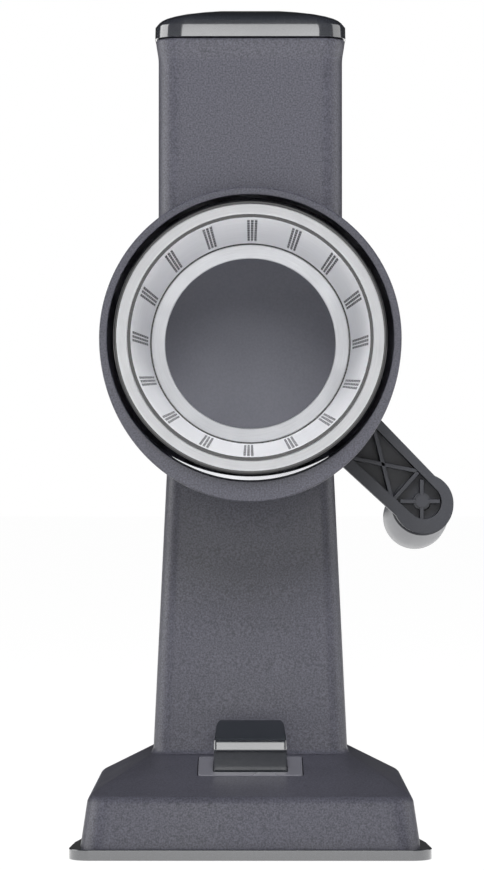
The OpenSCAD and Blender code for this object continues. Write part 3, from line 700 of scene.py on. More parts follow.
class GRATER_OT_foot(bpy.types.Operator):
    """Model the foot's shell with its rounded shoulder and the glossy lip under it"""

    bl_idname = "grater.foot"
    bl_label = "Foot"

    def execute(self, context):
        plan = context.scene.grater_shell
        half, front, back = SHELL_HIGH.x, SHELL_LOW.y, SHELL_HIGH.y
        lean = plan.wall_lean
        column_half = COLUMN_HIGH.x
        edge = plan.shoulder_round
        runs = (half - lean - column_half - 0.6 * MM, COLUMN_LOW.y - 0.6 * MM - front - lean,
                back - lean - COLUMN_HIGH.y - 0.6 * MM)
        rounds = (1.4 * edge, edge, edge)
        side, face, rear = (self.profile(plan, run, radius) for run, radius in zip(runs, rounds))
        levels = sorted({round(z, 5) for _, heights in (side, face) for z in heights})
        levels = [plan.lip_height] + levels + [plan.shoulder + 5 * MM, SHELL_HIGH.z]
        shell = loft(
            "foot_shell",
            [(z, half - side[0](z), front + face[0](z), back - rear[0](z)) for z in levels],
            plan.shell_corner,
            steps=10,
        )
        bezel_low, bezel_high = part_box("lever_bezel")
        wall, inset = plan.wall, lean + plan.wall
        inner = loft(
            "foot_hollow",
            (
                (0.0, half - wall, front + wall, back - wall),
                (plan.shoulder - 2 * MM, half - inset, front + inset, back - inset),
                (SHELL_HIGH.z - 3 * MM, column_half - 3 * MM, COLUMN_LOW.y + 4 * MM, COLUMN_HIGH.y - 4 * MM),
            ),
            plan.shell_corner - wall,
        )
        combine(shell, inner)
        opening = rounded_rectangle(
            bezel_high.x + 0.35 * MM, bezel_low.y - 0.2 * MM, bezel_high.y + 0.45 * MM, 1.6 * MM, 4
        )
        window = prism(
            "bezel_window",
            opening,
            upright(plan.shoulder - 4 * MM),
            (0, 0, 30 * MM),
        )
        combine(shell, window)
        hand_in_moulding(shell, "base_shell", smooth=40)

        wide, near, far = LIP_HIGH.x, LIP_LOW.y, LIP_HIGH.y
        corner, taper = plan.lip_corner, plan.lip_taper
        outline = (
            arc(wide - corner, near + corner, corner, -90, 0, 8)
            + [(wide - 0.4 * taper, near + 28 * MM), (wide - taper, near + 40 * MM)]
            + arc(wide - taper - corner, far - corner, corner, 0, 90, 8)
            + arc(corner + taper - wide, far - corner, corner, 90, 180, 8)
            + [(taper - wide, near + 40 * MM), (0.4 * taper - wide, near + 28 * MM)]
            + arc(corner - wide, near + corner, corner, 180, 270, 8)
        )
        lip = prism("foot_lip", outline, upright(0.0), (0, 0, plan.lip_height))
        hollow = prism(
            "lip_hollow",
            rounded_rectangle(half - 5 * MM, front + 5 * MM, back - 5 * MM, 10 * MM),
            upright(-MM),
            (0, 0, plan.lip_height + 2 * MM),
        )
        combine(lip, hollow)
        bevel(lip, 0.4 * MM, segments=3, angle=40)
        hand_in(lip, "grater_body", "gloss_trim", MATERIALS["gloss_moulding"], "base_trim_ring")
        return {"FINISHED"}

    @staticmethod
    def profile(plan, run, radius):
        """How far one side of the foot stands in at each height, and the heights of its shoulder's arc."""
        low, turn, top, lean = plan.lip_height, plan.shoulder, SHELL_HIGH.z, plan.wall_lean
        first = math.atan2(lean, turn - low)
        last = math.atan2(run, top - turn)
        reach = radius * math.tan((last - first) / 2)
        start, end = turn - reach * math.cos(first), turn + reach * math.cos(last)
        centre = start - radius * math.sin(first)
        inset = lean * (start - low) / (turn - low) + radius * math.cos(first)

        def place(height):
            if height <= start:
                return lean * (height - low) / (turn - low)
            if height >= end:
                return lean + run * (height - turn) / (top - turn)
            return inset - radius * math.cos(math.asin(min(1.0, (height - centre) / radius)))

        angles = [first + (last - first) * step / 7 for step in range(8)]
        return place, [centre + radius * math.sin(angle) for angle in angles]


class GRATER_OT_column(bpy.types.Operator):
    """Model the column with its flared foot and the cover on its back"""

    bl_idname = "grater.column"
    bl_label = "Column"

    def execute(self, context):
        plan = context.scene.grater_shell
        foot, top = COLUMN_LOW.z, COLUMN_HIGH.z
        half, front, back = COLUMN_HIGH.x, COLUMN_LOW.y, COLUMN_HIGH.y
        flare = plan.column_flare

        def section(height, grow):
            rise = height - foot
            return (
                height,
                half - plan.column_taper * rise + grow,
                front + plan.column_lean * rise - grow,
                back + min(grow, 0.5 * MM),
            )

        sections = []
        for step in range(6):
            turn = math.radians(18 * step)
            sections.append(section(foot + 2 * flare * (1 - math.cos(turn)), flare * (1 - math.sin(turn))))
        sections += [section(foot + 60 * MM, 0.0), section(foot + 120 * MM, 0.0)]
        crown = plan.column_crown
        for step in range(6):
            turn = math.radians(18 * step)
            sections.append(section(top - crown * (1 - math.sin(turn)), -crown * (1 - math.cos(turn))))
        column = loft("column", sections, plan.column_corner, steps=10)
        reach, depth = HOUSING_RADIUS - 1.2 * MM, HOUSING_BACK - 0.2 * MM
        cut = drum_lathe(
            "saddle_tool",
            [(0.0, RIM_Y), (reach, RIM_Y), (reach, depth), (0.0, depth)],
            closed=False,
        )
        combine(column, cut)
        cover_low, cover_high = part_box("rear_cover")
        slope = plan.column_taper * (cover_high.z - cover_low.z)

        def panel(name, grow, depth_in, depth_out):
            wide = cover_high.x + grow
            corner = 4 * MM
            low_z, high_z = cover_low.z - grow, cover_high.z + grow
            outline = (
                arc(wide - corner, low_z + corner, corner, -90, 0, 5)
                + arc(wide - slope - corner, high_z - corner, corner, 0, 90, 5)
                + arc(corner + slope - wide, high_z - corner, corner, 90, 180, 5)
                + arc(corner - wide, low_z + corner, corner, 180, 270, 5)
            )
            return prism(name, outline, facing(back - depth_in), (0, depth_in + depth_out, 0))

        combine(column, panel("cover_recess", 0.35 * MM, 2.4 * MM, 4 * MM))
        hand_in_moulding(column, "column_shell")

        cover = panel("column_cover", 0.0, 2.4 * MM, 0.0)
        bevel(cover, 0.7 * MM, segments=3, angle=60)
        bore = drum_lathe(
            "cover_bore",
            [(0.0, back - 9 * MM), (11.2 * MM, back - 9 * MM),
             (11.2 * MM, back + 9 * MM), (0.0, back + 9 * MM)],
            steps=64,
            closed=False,
        )
        combine(cover, bore)
        hand_in_moulding(cover, "rear_cover")
        return {"FINISHED"}


class GRATER_OT_housing(bpy.types.Operator):
    """Model the round drum housing with its rolled rim and its falling underside"""

    bl_idname = "grater.housing"
    bl_label = "Drum housing"

    def execute(self, context):
        plan = context.scene.grater_shell
        outer, bore = HOUSING_RADIUS, HOUSING_RADIUS - plan.rim
        outer_round, inner_round = 0.7 * MM, 0.5 * MM
        rear_round = 2.0 * MM
        hole = 8 * MM
        wall = 4 * MM
        profile = (
            arc(outer - outer_round, RIM_Y + outer_round, outer_round, -90, 0, 4)
            + arc(outer - rear_round, HOUSING_BACK - rear_round, rear_round, 0, 90, 5)
            + [(hole, HOUSING_BACK), (hole, HOUSING_BACK - wall), (bore - 2 * MM, HOUSING_BACK - wall)]
            + [(bore, HOUSING_BACK - wall - 2 * MM)]
            + arc(bore + inner_round, RIM_Y + inner_round, inner_round, 180, 270, 6)
        )
        housing = drum_lathe("drum_shroud", profile, steps=160)
        activate(housing)
        bpy.ops.object.mode_set(mode="EDIT")
        bpy.ops.mesh.select_all(action="DESELECT")
        bpy.ops.object.mode_set(mode="OBJECT")
        for vertex in housing.data.vertices:
            reach = math.hypot(vertex.co.x, vertex.co.z - AXIS_Z)
            vertex.select = reach > bore + MM and vertex.co.z < AXIS_Z
        bpy.ops.object.mode_set(mode="EDIT")
        bpy.ops.transform.resize(
            value=(1.0, 1.0, (outer + plan.drop) / outer), center_override=(0, 0, AXIS_Z)
        )
        close_up(housing)
        low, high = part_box("pusher_body")
        gap = 0.6 * MM
        corner = plan.chute_corner - plan.chute_wall
        throat = prism(
            "throat",
            rounded_rectangle(high.x + gap, low.y - gap, high.y + gap, corner, 6),
            upright(AXIS_Z + 20 * MM),
            (0, 0, 60 * MM),
        )
        combine(housing, throat)
        hand_in_moulding(housing, "drum_housing", smooth=35)
        return {"FINISHED"}


class GRATER_OT_chute(bpy.types.Operator):
    """Model the food chute with its flared mouth"""

    bl_idname = "grater.chute"
    bl_label = "Chute"

    def execute(self, context):
        plan = context.scene.grater_shell
        flare = plan.mouth_flare
        wall = plan.chute_wall
        half = CHUTE_HIGH.x - flare
        front, back = CHUTE_LOW.y + flare, CHUTE_HIGH.y - flare
        top = CHUTE_HIGH.z
        low = AXIS_Z + 25 * MM
        rise = plan.mouth_flare_height
        steps = 6
        flared = [
            (top - rise + rise * i / steps, flare * (1 - math.cos(math.pi * i / steps)) / 2)
            for i in range(steps + 1)
        ]
        sections = [(low, half, front, back)]
        sections += [(z, half + g, front - g, back + g) for z, g in flared]
        chute = loft("chute", sections, plan.chute_corner, steps=10)
        hollow = loft(
            "chute_hollow",
            [
                (low - MM, half - wall, front + wall, back - wall),
                (top + MM, half - wall, front + wall, back - wall),
            ],
            plan.chute_corner - wall,
            steps=10,
        )
        combine(chute, hollow)
        bevel(chute, 0.8 * MM, segments=3, angle=60)
        reach = HOUSING_RADIUS - 1.4 * MM
        saddle = drum_lathe(
            "chute_saddle",
            [(0.0, RIM_Y - MM), (reach, RIM_Y - MM), (reach, back + 9 * MM), (0.0, back + 9 * MM)],
            closed=False,
        )
        combine(chute, saddle)
        hand_in_moulding(chute, "hopper_chute")
        return {"FINISHED"}


CAP_DOME = (  # millimetres: rise, then how far the sides and the two ends stand in
    (0.0, 0.3, 0.3), (0.3, 0.0, 0.0), (4.8, 0.1, 0.0), (6.6, 1.6, 0.1), (7.4, 2.6, 0.4), (8.1, 4.0, 1.1),
    (8.9, 6.4, 2.2), (9.8, 10.0, 4.2), (10.8, 16.0, 7.5), (11.8, 22.0, 12.5), (12.4, 28.5, 18.0),
    (12.59, 33.0, 23.0),
)


class GRATER_OT_pusher(bpy.types.Operator):
    """Model the pusher's domed glossy cap and its hollow body"""

    bl_idname = "grater.pusher"
    bl_label = "Pusher"

    def execute(self, context):
        plan = context.scene.grater_shell
        half, front, back = CAP_HIGH.x, CAP_LOW.y, CAP_HIGH.y
        low = CAP_LOW.z
        cap = loft(
            "pusher_top",
            [
                (low + rise * MM, half - side * MM, front + end * MM, back - end * MM)
                for rise, side, end in CAP_DOME
            ],
            plan.chute_corner + 2.4 * MM,
            steps=12,
        )
        hand_in(cap, "pusher", "gloss_trim", MATERIALS["gloss_moulding"], "pusher_cap", smooth=40)

        body_low, body_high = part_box("pusher_body")
        wide, near, far = body_high.x, body_low.y, body_high.y
        corner = 5.4 * MM
        body = loft(
            "pusher_block",
            [(body_low.z, wide, near, far), (body_high.z, wide, near, far)],
            corner,
        )
        bevel(body, 1.2 * MM, segments=3, angle=60)
        wall = 2.2 * MM
        hollow = loft(
            "pusher_hollow",
            [
                (body_low.z + wall, wide - wall, near + wall, far - wall),
                (body_high.z + MM, wide - wall, near + wall, far - wall),
            ],
            corner - wall,
        )
        combine(body, hollow)
        hand_in(body, "pusher", "pusher", MATERIALS["inner_moulding"], "pusher_body")
        return {"FINISHED"}


# ---------------------------------------------------------------- pieces of the drum


class GRATER_OT_drum(bpy.types.Operator):
    """Model the perforated drum, its steel ring, its collar and its back plate"""

    bl_idname = "grater.drum"
    bl_label = "Drum"

    def execute(self, context):
        drum = context.scene.grater_drum
        self.wall(drum)
        front = DRUM_FRONT
        step = 0.7 * MM
        lip = 0.5 * MM
        ring = drum_lathe(
            "drum_ring",
            arc(drum.ring_outer - lip, front + lip, lip, 0, -90, 4)
            + arc(drum.mouth + lip, front + lip, lip, -90, -180, 4)
            + [(drum.mouth, front + 1.4 * MM), (drum.ring_outer, front + 1.4 * MM)],
            steps=160,
        )
        hand_in(ring, "drum", "drum_steel", MATERIALS["drum_ring_steel"], "drum_front_ring", smooth=30)

        near = front + 0.6 * MM
        edge = 0.6 * MM
        collar = drum_lathe(
            "drum_band",
            arc(drum.collar - edge, near + edge, edge, -90, 0, 4)
            + arc(drum.collar - edge, near + drum.collar_depth - edge, edge, 0, 90, 3)
            + [(drum.cone_front + 0.9 * MM, front + drum.collar_depth),
               (drum.cone_front + 0.9 * MM, front + 1.35 * MM),
               (drum.cone_front + 0.05 * MM, front + 1.35 * MM), (drum.cone_front + 0.05 * MM, front + step),
               (drum.mouth - 0.05 * MM, front + step), (drum.mouth - 0.05 * MM, front + 1.45 * MM),
               (drum.ring_outer + 0.05 * MM, front + 1.45 * MM), (drum.ring_outer + 0.05 * MM, near)],
            steps=160,
        )
        hand_in(collar, "drum", "drum_collar", MATERIALS["collar_moulding"], "drum_collar", smooth=30)

        far = CONE_HIGH.y
        outer = drum.cone_back - 0.6 * MM
        back_ring = drum_lathe(
            "drum_far_ring",
            [(outer - 0.2 * MM, far), (drum.plate + 0.3 * MM, far), (drum.plate, far + 0.3 * MM),
             (drum.plate, far + 0.9 * MM), (outer, far + 0.9 * MM), (outer, far + 0.2 * MM)],
            steps=128,
        )
        rim = drum.cone_back + drum.sheet
        # A near-black ring at the back of the gap between the wall and the far ring: painted shade in that
        # gap.
        groove = drum_lathe(
            "groove_shade_ring",
            [(outer - 2 * MM, far + 0.95 * MM), (rim, far + 0.95 * MM), (rim, far + 1.3 * MM),
             (outer - 2 * MM, far + 1.3 * MM)],
            steps=128,
        )
        hand_in(groove, "drum", "drum_collar", MATERIALS["collar_moulding"])
        hand_in(back_ring, "drum", "drum_steel", MATERIALS["drum_far_steel"], "drum_back_ring", smooth=30)

        plate_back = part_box("drum_back_plate")[1].y
        rise = drum.plate_dome
        bend = (drum.plate**2 + rise**2) / (2 * rise)
        reach = math.degrees(math.asin(drum.plate / bend))
        centre = far + 0.5 * MM - rise + bend
        turns = [math.radians(reach * i / 16) for i in range(17)]
        crown = [(bend * math.sin(turn), centre - bend * math.cos(turn)) for turn in turns]
        crown[0] = (0.0, crown[0][1])
        plate = drum_lathe(
            "drum_plate",
            crown
            + [(drum.plate - 0.1 * MM, far + 1.0 * MM), (drum.cone_back - MM, far + 1.0 * MM),
               (drum.cone_back - MM, far + 3 * MM), (12 * MM, far + 3 * MM),
               (12 * MM, plate_back - 0.5 * MM), (11.5 * MM, plate_back), (6.2 * MM, plate_back),
               (6.2 * MM, far + 3 * MM), (0.0, far + 3 * MM)],
            closed=False,
        )
        hand_in(plate, "drum", "drum_plate", MATERIALS["drum_plate"], "drum_back_plate", smooth=30)

        self.clip(drum)
        return {"FINISHED"}

    @staticmethod
    def clip(drum):
        """The crescent clip under the drum, thick in the middle and thin at its ends."""
        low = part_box("drum_retaining_clip")[0]
        outer, half_angle = AXIS_Z - low.z - 0.1 * MM, 33.6
        outline = arc(0, AXIS_Z, outer, -90 - half_angle, -90 + half_angle, 40)
        for step in range(41):
            share = 1 - 2 * step / 40
            turn = math.radians(-90 + half_angle * share)
            radius = outer - 0.6 * MM - 1.3 * MM * (1 - share**2)
            outline.append((radius * math.cos(turn), AXIS_Z + radius * math.sin(turn)))
        clip = prism("drum_clip", outline, facing(low.y + 0.1 * MM), (0, 2.4 * MM, 0))
        bevel(clip, 0.5 * MM, segments=4, angle=50)
        hand_in(clip, "grater_body", "clip", MATERIALS["clip_steel"], "drum_retaining_clip", smooth=60)

    @staticmethod
    def wall(drum):
        """The conical wall: spun in strips, with small faces inset and removed as perforations."""
        start, end = CONE_LOW.y, CONE_HIGH.y
        slope = (drum.cone_back - drum.cone_front) / (end - start)
        margin = 5.5 * MM
        pitch = (end - start - 2 * margin - drum.hole_length) / (drum.rows - 1)
        stations = [start]
        for row in range(drum.rows):
            stations += [start + margin + row * pitch, start + margin + row * pitch + drum.hole_length]
        stations.append(end)
        steps = drum.groups * drum.divisions
        cone = drum_lathe(
            "drum_wall",
            [(drum.cone_front + slope * (y - start), y) for y in stations],
            steps=steps,
            closed=False,
        )
        first_column = (drum.divisions - drum.columns) // 2
        strip = FULL / steps
        for face in cone.data.polygons:
            turn = math.atan2(face.center.x, face.center.z - AXIS_Z) % FULL
            column = int(turn / strip + first_column + drum.columns // 2) % drum.divisions - first_column
            along = (face.center.y - start - margin) % pitch
            inside = start + margin < face.center.y < end - margin
            face.select = inside and along < drum.hole_length and 0 <= column < drum.columns
        for edge in cone.data.edges:
            edge.select = False
        for vertex in cone.data.vertices:
            vertex.select = False
        activate(cone)
        bpy.ops.object.mode_set(mode="EDIT")
        bpy.ops.mesh.select_mode(type="FACE")
        bpy.ops.mesh.inset(use_individual=True, use_even_offset=True, thickness=0.22 * MM, depth=0.0)
        bpy.ops.mesh.delete(type="FACE")
        bpy.ops.mesh.select_mode(type="VERT")
        bpy.ops.object.mode_set(mode="OBJECT")
        modify(cone, "SOLIDIFY", thickness=drum.wall_sheet, offset=1.0, use_even_offset=True)
        hand_in(cone, "drum", "drum_steel", MATERIALS["drum_wall_steel"], "drum_cone", smooth=25)


# ---------------------------------------------------------------- pieces of the crank


def on_crank(along, across, depth):
    """A place on the crank: along and across the arm, at a Y."""
    angle = math.radians(-bpy.context.scene.grater_crank.drop_angle)
    return Vector(
        (
            along * math.cos(angle) - across * math.sin(angle),
            depth,
            AXIS_Z + along * math.sin(angle) + across * math.cos(angle),
        )
    )


def crank_block(name, outline, near, far):
    """A block on the crank from an outline along and across the arm, between two Y limits."""
    return prism(name, outline, lambda a, b: on_crank(a, b, near), (0, far - near, 0))


def strap(start, first, end, second, steps=24):
    """Outline of two circles of different radii, joined by their outer tangents."""
    reach, rise = end[0] - start[0], end[1] - start[1]
    heading = math.degrees(math.atan2(rise, reach))
    lean = math.degrees(math.asin((first - second) / math.hypot(reach, rise)))
    near = arc(*start, first, heading + 90 - lean, heading + 270 + lean, steps)
    return arc(*end, second, heading + lean - 90, heading + 90 - lean, steps) + near


class GRATER_OT_crank(bpy.types.Operator):
    """Model the crank arm with its ribbed pocket, and the screw on the shaft"""

    bl_idname = "grater.crank"
    bl_label = "Crank"

    def execute(self, context):
        plan = context.scene.grater_crank
        far = ARM_BACK
        near = far - plan.thickness
        hub, tip = (0.0, plan.offset), (plan.length, 0.0)
        arm = crank_block("crank_body", strap(hub, plan.hub_half, tip, plan.end_half), near, far)
        end = arc(*tip, plan.end_radius, 0, 352.5, 47)
        combine(arm, crank_block("crank_end", end, near, far - 4.6 * MM), "UNION")
        inner_hub, inner_tip = plan.hub_half - plan.wall, plan.end_half - plan.wall + 0.5 * MM
        pocket = crank_block(
            "pocket", strap(hub, inner_hub, (plan.length - 0.3 * MM, 0.8 * MM), inner_tip),
            near - MM, near + plan.pocket,
        )
        post = drum_lathe(
            "hub_post",
            [(0.0, near - 2 * MM), (12.8 * MM, near - 2 * MM), (12.8 * MM, far), (0.0, far)],
            closed=False,
        )
        combine(arm, combine(pocket, post))
        bevel(arm, 0.55 * MM, segments=3, angle=45)
        boss = drum_lathe(
            "crank_boss",
            [(6.2 * MM, near - 8 * MM), (9.4 * MM, near - 8 * MM), (10 * MM, near - 7.4 * MM),
             (10 * MM, near + MM), (6.2 * MM, near + MM)],
            steps=64,
        )
        arm = join([arm, boss, self.seat(plan)])
        hand_in(arm, "crank", "crank_moulding", MATERIALS["crank_moulding"], "crank_arm")
        self.ribs(plan, near)
        self.screw(far)
        return {"FINISHED"}

    @staticmethod
    def seat(plan):
        """The round seat of the grip behind the arm's end, past a fine groove."""
        side = GRIP_AXIS.orthogonal().normalized()
        start = plan.thickness / 2 - 5 * MM
        groove = plan.thickness / 2 - 2.2 * MM
        end = plan.grip_start - 0.7 * MM
        neck, radius, bore = 12.2 * MM, 13.3 * MM, 3.2 * MM
        rounding = 0.6 * MM
        profile = (
            [(bore, start), (neck, start), (neck, groove), (radius - rounding, groove)]
            + [(radius, groove + rounding), (radius, end - rounding), (radius - rounding, end)]
            + [(bore, end)]
        )
        return lathe("grip_seat", profile, GRIP_CENTRE, GRIP_AXIS, side, 64)

    @staticmethod
    def ribs(plan, near):
        """Crossed ribs in the pocket, a transverse rib and a small four-armed boss."""
        floor = near + plan.pocket + 0.5 * MM
        top = near + 0.7 * MM
        half_rib = plan.rib / 2
        share = plan.end_half - plan.wall

        def edges(along):
            """The pocket's two edges at a place along the arm."""
            part = along / plan.length
            middle = plan.offset * (1 - part)
            half = (plan.hub_half - plan.wall) * (1 - part) + share * part + 0.9 * MM
            return middle - half, middle + half

        def rib(name, start, end):
            direction = Vector((end[0] - start[0], end[1] - start[1])).normalized()
            side = Vector((-direction.y, direction.x)) * half_rib
            outline = [
                (start[0] + side.x, start[1] + side.y), (start[0] - side.x, start[1] - side.y),
                (end[0] - side.x, end[1] - side.y), (end[0] + side.x, end[1] + side.y),
            ]
            return crank_block(name, outline, top, floor)

        def across(name, along):
            low, high = edges(along)
            return rib(name, (along, low), (along, high))

        boss_at = (plan.length - 1.2 * MM, 0.3 * MM)
        cross_start = plan.length - 10.6 * MM
        cell = 27.8 * MM
        pieces = [across("rib_across_0", cross_start)]
        for index in range(3):
            right = cross_start - index * cell - 0.5 * MM
            left = max(right - cell + MM, plan.hub_half + MM)
            (low_left, high_left), (low_right, high_right) = edges(left), edges(right)
            pieces.append(rib(f"rib_rise_{index}", (left, low_left), (right, high_right)))
            pieces.append(rib(f"rib_fall_{index}", (left, high_left), (right, low_right)))
            if index < 2:
                pieces.append(across(f"rib_across_{index + 1}", left - 0.5 * MM))
        turn_start = math.radians(plan.drop_angle)
        for turn in range(4):
            angle = turn_start + turn * math.pi / 2
            reach = share + (2.4 * MM if turn in (1, 2) else 0.9 * MM)
            end = (boss_at[0] + reach * math.cos(angle), boss_at[1] + reach * math.sin(angle))
            pieces.append(rib(f"rib_arm_{turn}", boss_at, end))
        for piece in pieces:
            bevel(piece, 0.2 * MM, segments=2, angle=60)
        for name, radius, start in (
            ("rib_boss", plan.boss, top - 0.2 * MM),
            ("rib_collar", plan.collar, near + 1.7 * MM),
        ):
            pieces.append(crank_block(name, arc(*boss_at, radius, 0, 345, 23), start, floor))
        ribs = join(pieces)
        ribs.name = ribs.data.name = "crank_ribs"
        hand_in(ribs, "crank", "crank_moulding", MATERIALS["crank_moulding"])

    @staticmethod
    def screw(far):
        """Washer and cross-head screw on the shaft's end."""
        head = drum_lathe(
            "shaft_screw",
            [(0.0, far), (7 * MM, far), (7 * MM, far + 1.0 * MM), (6.8 * MM, far + 1.2 * MM),
             (3 * MM, far + 1.2 * MM), (3 * MM, far + 2.2 * MM), (2.5 * MM, far + 2.9 * MM),
             (1.4 * MM, far + 3.2 * MM), (0.0, far + 3.25 * MM)],
            steps=48,
            closed=False,
        )
        for turn in (0, 1):
            wide, tall = (1.9, 0.4) if turn else (0.4, 1.9)
            outline = [(-wide * MM, AXIS_Z - tall * MM), (wide * MM, AXIS_Z - tall * MM),
                       (wide * MM, AXIS_Z + tall * MM), (-wide * MM, AXIS_Z + tall * MM)]
            combine(head, prism("recess", outline, facing(far + 1.8 * MM), (0, 4 * MM, 0)))
        hand_in(head, "crank", "screws", MATERIALS["pin_steel"], "crank_screw")


class GRATER_OT_grip(bpy.types.Operator):
    """Turn the crank's grip and its end cap"""

    bl_idname = "grater.grip"
    bl_label = "Grip"

    def execute(self, context):
        plan = context.scene.grater_crank
        side = GRIP_AXIS.orthogonal().normalized()
        start, end = plan.grip_start, plan.grip_end
        neck, radius = plan.grip_neck, plan.grip_radius
        bore = 3.05 * MM
        edge = 2.2 * MM
        length = end - start
        body = [(bore, start), (neck - MM, start), (neck - 0.3 * MM, start + 0.3 * MM), (neck, start + MM)]
        for i in range(1, 17):
            share = i / 16
            swell = (1 - math.cos(math.pi * share)) / 2
            body.append((neck + (radius - neck) * swell, start + MM + (length * 0.78) * share))
        body += arc(radius - edge, end - edge, edge, 0, 90, 6)
        body += [(8.0 * MM, end), (8.0 * MM, end - 7 * MM), (bore, end - 7 * MM)]
        grip = lathe("crank_grip", body, GRIP_CENTRE, GRIP_AXIS, side, 96)
        hand_in(grip, "grip", "grip", MATERIALS["grip_moulding"], "crank_knob", smooth=32)
        cap = lathe(
            "grip_cap",
            [(0.0, end - 2.2 * MM), (7.9 * MM, end - 2.2 * MM), (7.9 * MM, end - 0.6 * MM),
             (7.5 * MM, end - 0.25 * MM), (4 * MM, end - 0.1 * MM), (0.0, end - 0.05 * MM)],
            GRIP_CENTRE,
            GRIP_AXIS,
            side,
            64,
            closed=False,
        )
        hand_in(cap, "grip", "grip", MATERIALS["grip_moulding"], "knob_end_cap", smooth=32)
        return {"FINISHED"}


# ---------------------------------------------------------------- lever and bezel


def on_roof(across, along, lift):
    """A place on the foot's front slope: across, its Y, and a lift square to the slope."""
    plan = bpy.context.scene.grater_shell
    low_y = SHELL_LOW.y + plan.wall_lean
    high_y = COLUMN_LOW.y - 0.6 * MM
    slope = math.atan2(SHELL_HIGH.z - plan.shoulder, high_y - low_y)
    height = SHELL_HIGH.z + (along - high_y) * math.tan(slope)
    return Vector((across, along - lift * math.sin(slope), height + lift * math.cos(slope)))


class GRATER_OT_lever(bpy.types.Operator):
    """Model the suction lever and the smooth bezel round it"""

    bl_idname = "grater.lever"
    bl_label = "Suction lever"

    def execute(self, context):
        plan = context.scene.grater_lever
        bezel_low, bezel_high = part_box("lever_bezel")
        half = bezel_high.x
        near, far = bezel_low.y + 0.2 * MM, bezel_high.y - 0.1 * MM
        down, up = -1.4 * MM, 0.35 * MM
        outline = rounded_rectangle(half, near, far, 1.6 * MM, 5)
        rise = on_roof(0, 0, up) - on_roof(0, 0, down)
        bezel = prism("bezel_plate", outline, lambda a, b: on_roof(a, b, down), rise)
        slot = rounded_rectangle(
            half - plan.frame, near + plan.margin, far - plan.margin, 1.2 * MM, 5
        )
        tool = prism("bezel_slot", slot, lambda a, b: on_roof(a, b, -4 * MM), (0, 0, 9 * MM))
        combine(bezel, tool)
        bevel(bezel, 0.3 * MM, segments=3, angle=50)
        hand_in(bezel, "grater_body", "bezel", MATERIALS["bezel_moulding"], "lever_bezel")

        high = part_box("suction_lever")[1]
        pivot, top = LEVER_PIVOT.z, high.z
        front, back = LEVER_PIVOT.y - 4.4 * MM, LEVER_PIVOT.y + 4 * MM
        nose = LEVER_PIVOT.y - 8.2 * MM
        half = plan.width / 2
        side = [
            (nose, pivot + 18.8 * MM), (nose + 0.5 * MM, pivot + 23.6 * MM), (back + 0.6 * MM, top),
            (back + 0.6 * MM, pivot + 25 * MM), (back, pivot + 21 * MM), (back, pivot + 18.8 * MM),
        ]
        lever = prism("lever_blade", side, lambda a, b: Vector((-half, a, b)), (plan.width, 0, 0))
        bevel(lever, plan.round, segments=5, angle=40)
        corner, slant = plan.corner, 0.9 * MM
        outline = [(-half - MM, pivot - MM), (half + MM, pivot - MM), (half + MM, pivot + 22 * MM)]
        outline += [(half, pivot + 22 * MM)]
        outline += arc(half - slant - corner, top - corner, corner, 0, 90, 8)
        outline += arc(corner + slant - half, top - corner, corner, 90, 180, 8)
        outline += [(-half, pivot + 22 * MM), (-half - MM, pivot + 22 * MM)]
        combine(lever, prism("lever_outline", outline, facing(nose - MM), (0, 20 * MM, 0)), "INTERSECT")
        side = [
            (front, pivot), (front, pivot + 10 * MM), (nose + 1.2 * MM, pivot + 19.4 * MM),
            (nose + 1.2 * MM, pivot + 20 * MM), (back - 0.3 * MM, pivot + 20 * MM),
            (back - 0.3 * MM, pivot),
        ]
        shank = prism("lever_shank", side, lambda a, b: Vector((-half, a, b)), (plan.width, 0, 0))
        bevel(shank, plan.round, segments=5, angle=40)
        foot = [(6.2, -1.6, 4.4), (0.0, 0.0, 5.2)]
        hooks = []
        for index, (forward, down_by, radius) in enumerate(foot):
            outline = arc(LEVER_PIVOT.y - forward * MM, pivot + down_by * MM, radius * MM, 0, 345, 23)
            hooks.append(
                prism(
                    f"lever_foot_{index}",
                    outline,
                    lambda a, b: Vector((-plan.width / 2 + 0.4 * MM, a, b)),
                    (plan.width - 0.8 * MM, 0, 0),
                )
            )
        for hook in hooks:
            combine(shank, hook, "UNION")
        lever = join([lever, shank])
        hand_in(lever, "lever", "lever", MATERIALS["lever_moulding"], "suction_lever", smooth=30)
        return {"FINISHED"}


# ---------------------------------------------------------------- stage


NODE_FINISH = {
    "base_plate": "inner_moulding",
    "base_plate_screws": "pin_steel",
    "suction_cup": "rubber",
    "lever_pin": "pin_steel",
    "plunger_bridge": "inner_moulding",
    "column_screws": "pin_steel",
    "rear_cover_screws": "pin_steel",
    "bearing_tube": "inner_moulding",
    "front_bush": "bronze",
    "rear_bush": "bronze",
    "shaft_seal": "rubber",
    "drive_shaft": "pin_steel",
    "knob_axle": "pin_steel",
    "drum_socket": "pin_steel",
    "cam_pin": "pin_steel",
    "suction_plunger": "inner_moulding",
    "release_spring": "pin_steel",
}


class GRATER_OT_carried(bpy.types.Operator):
    """Give the exact parts that stay in view their finishes"""

    bl_idname = "grater.carried"
    bl_label = "Carried parts"

    def execute(self, context):
        for name, finish in NODE_FINISH.items():
            node = frame["nodes"][name]
            node.data.materials.clear()
            node.data.materials.append(MATERIALS[finish])
        return {"FINISHED"}


def softbox(name, place, target, width, height, power):
    """A rectangular area light that looks at a target."""
    deselect()
    bpy.ops.object.light_add(type="AREA", location=place)
    lamp = bpy.context.object
    lamp.name = name
    lamp.data.shape = "RECTANGLE"
    lamp.data.size = width
    lamp.data.size_y = height
    lamp.data.energy = power
    lamp.rotation_euler = (Vector(target) - Vector(place)).to_track_quat("-Z", "Y").to_euler()
    return lamp


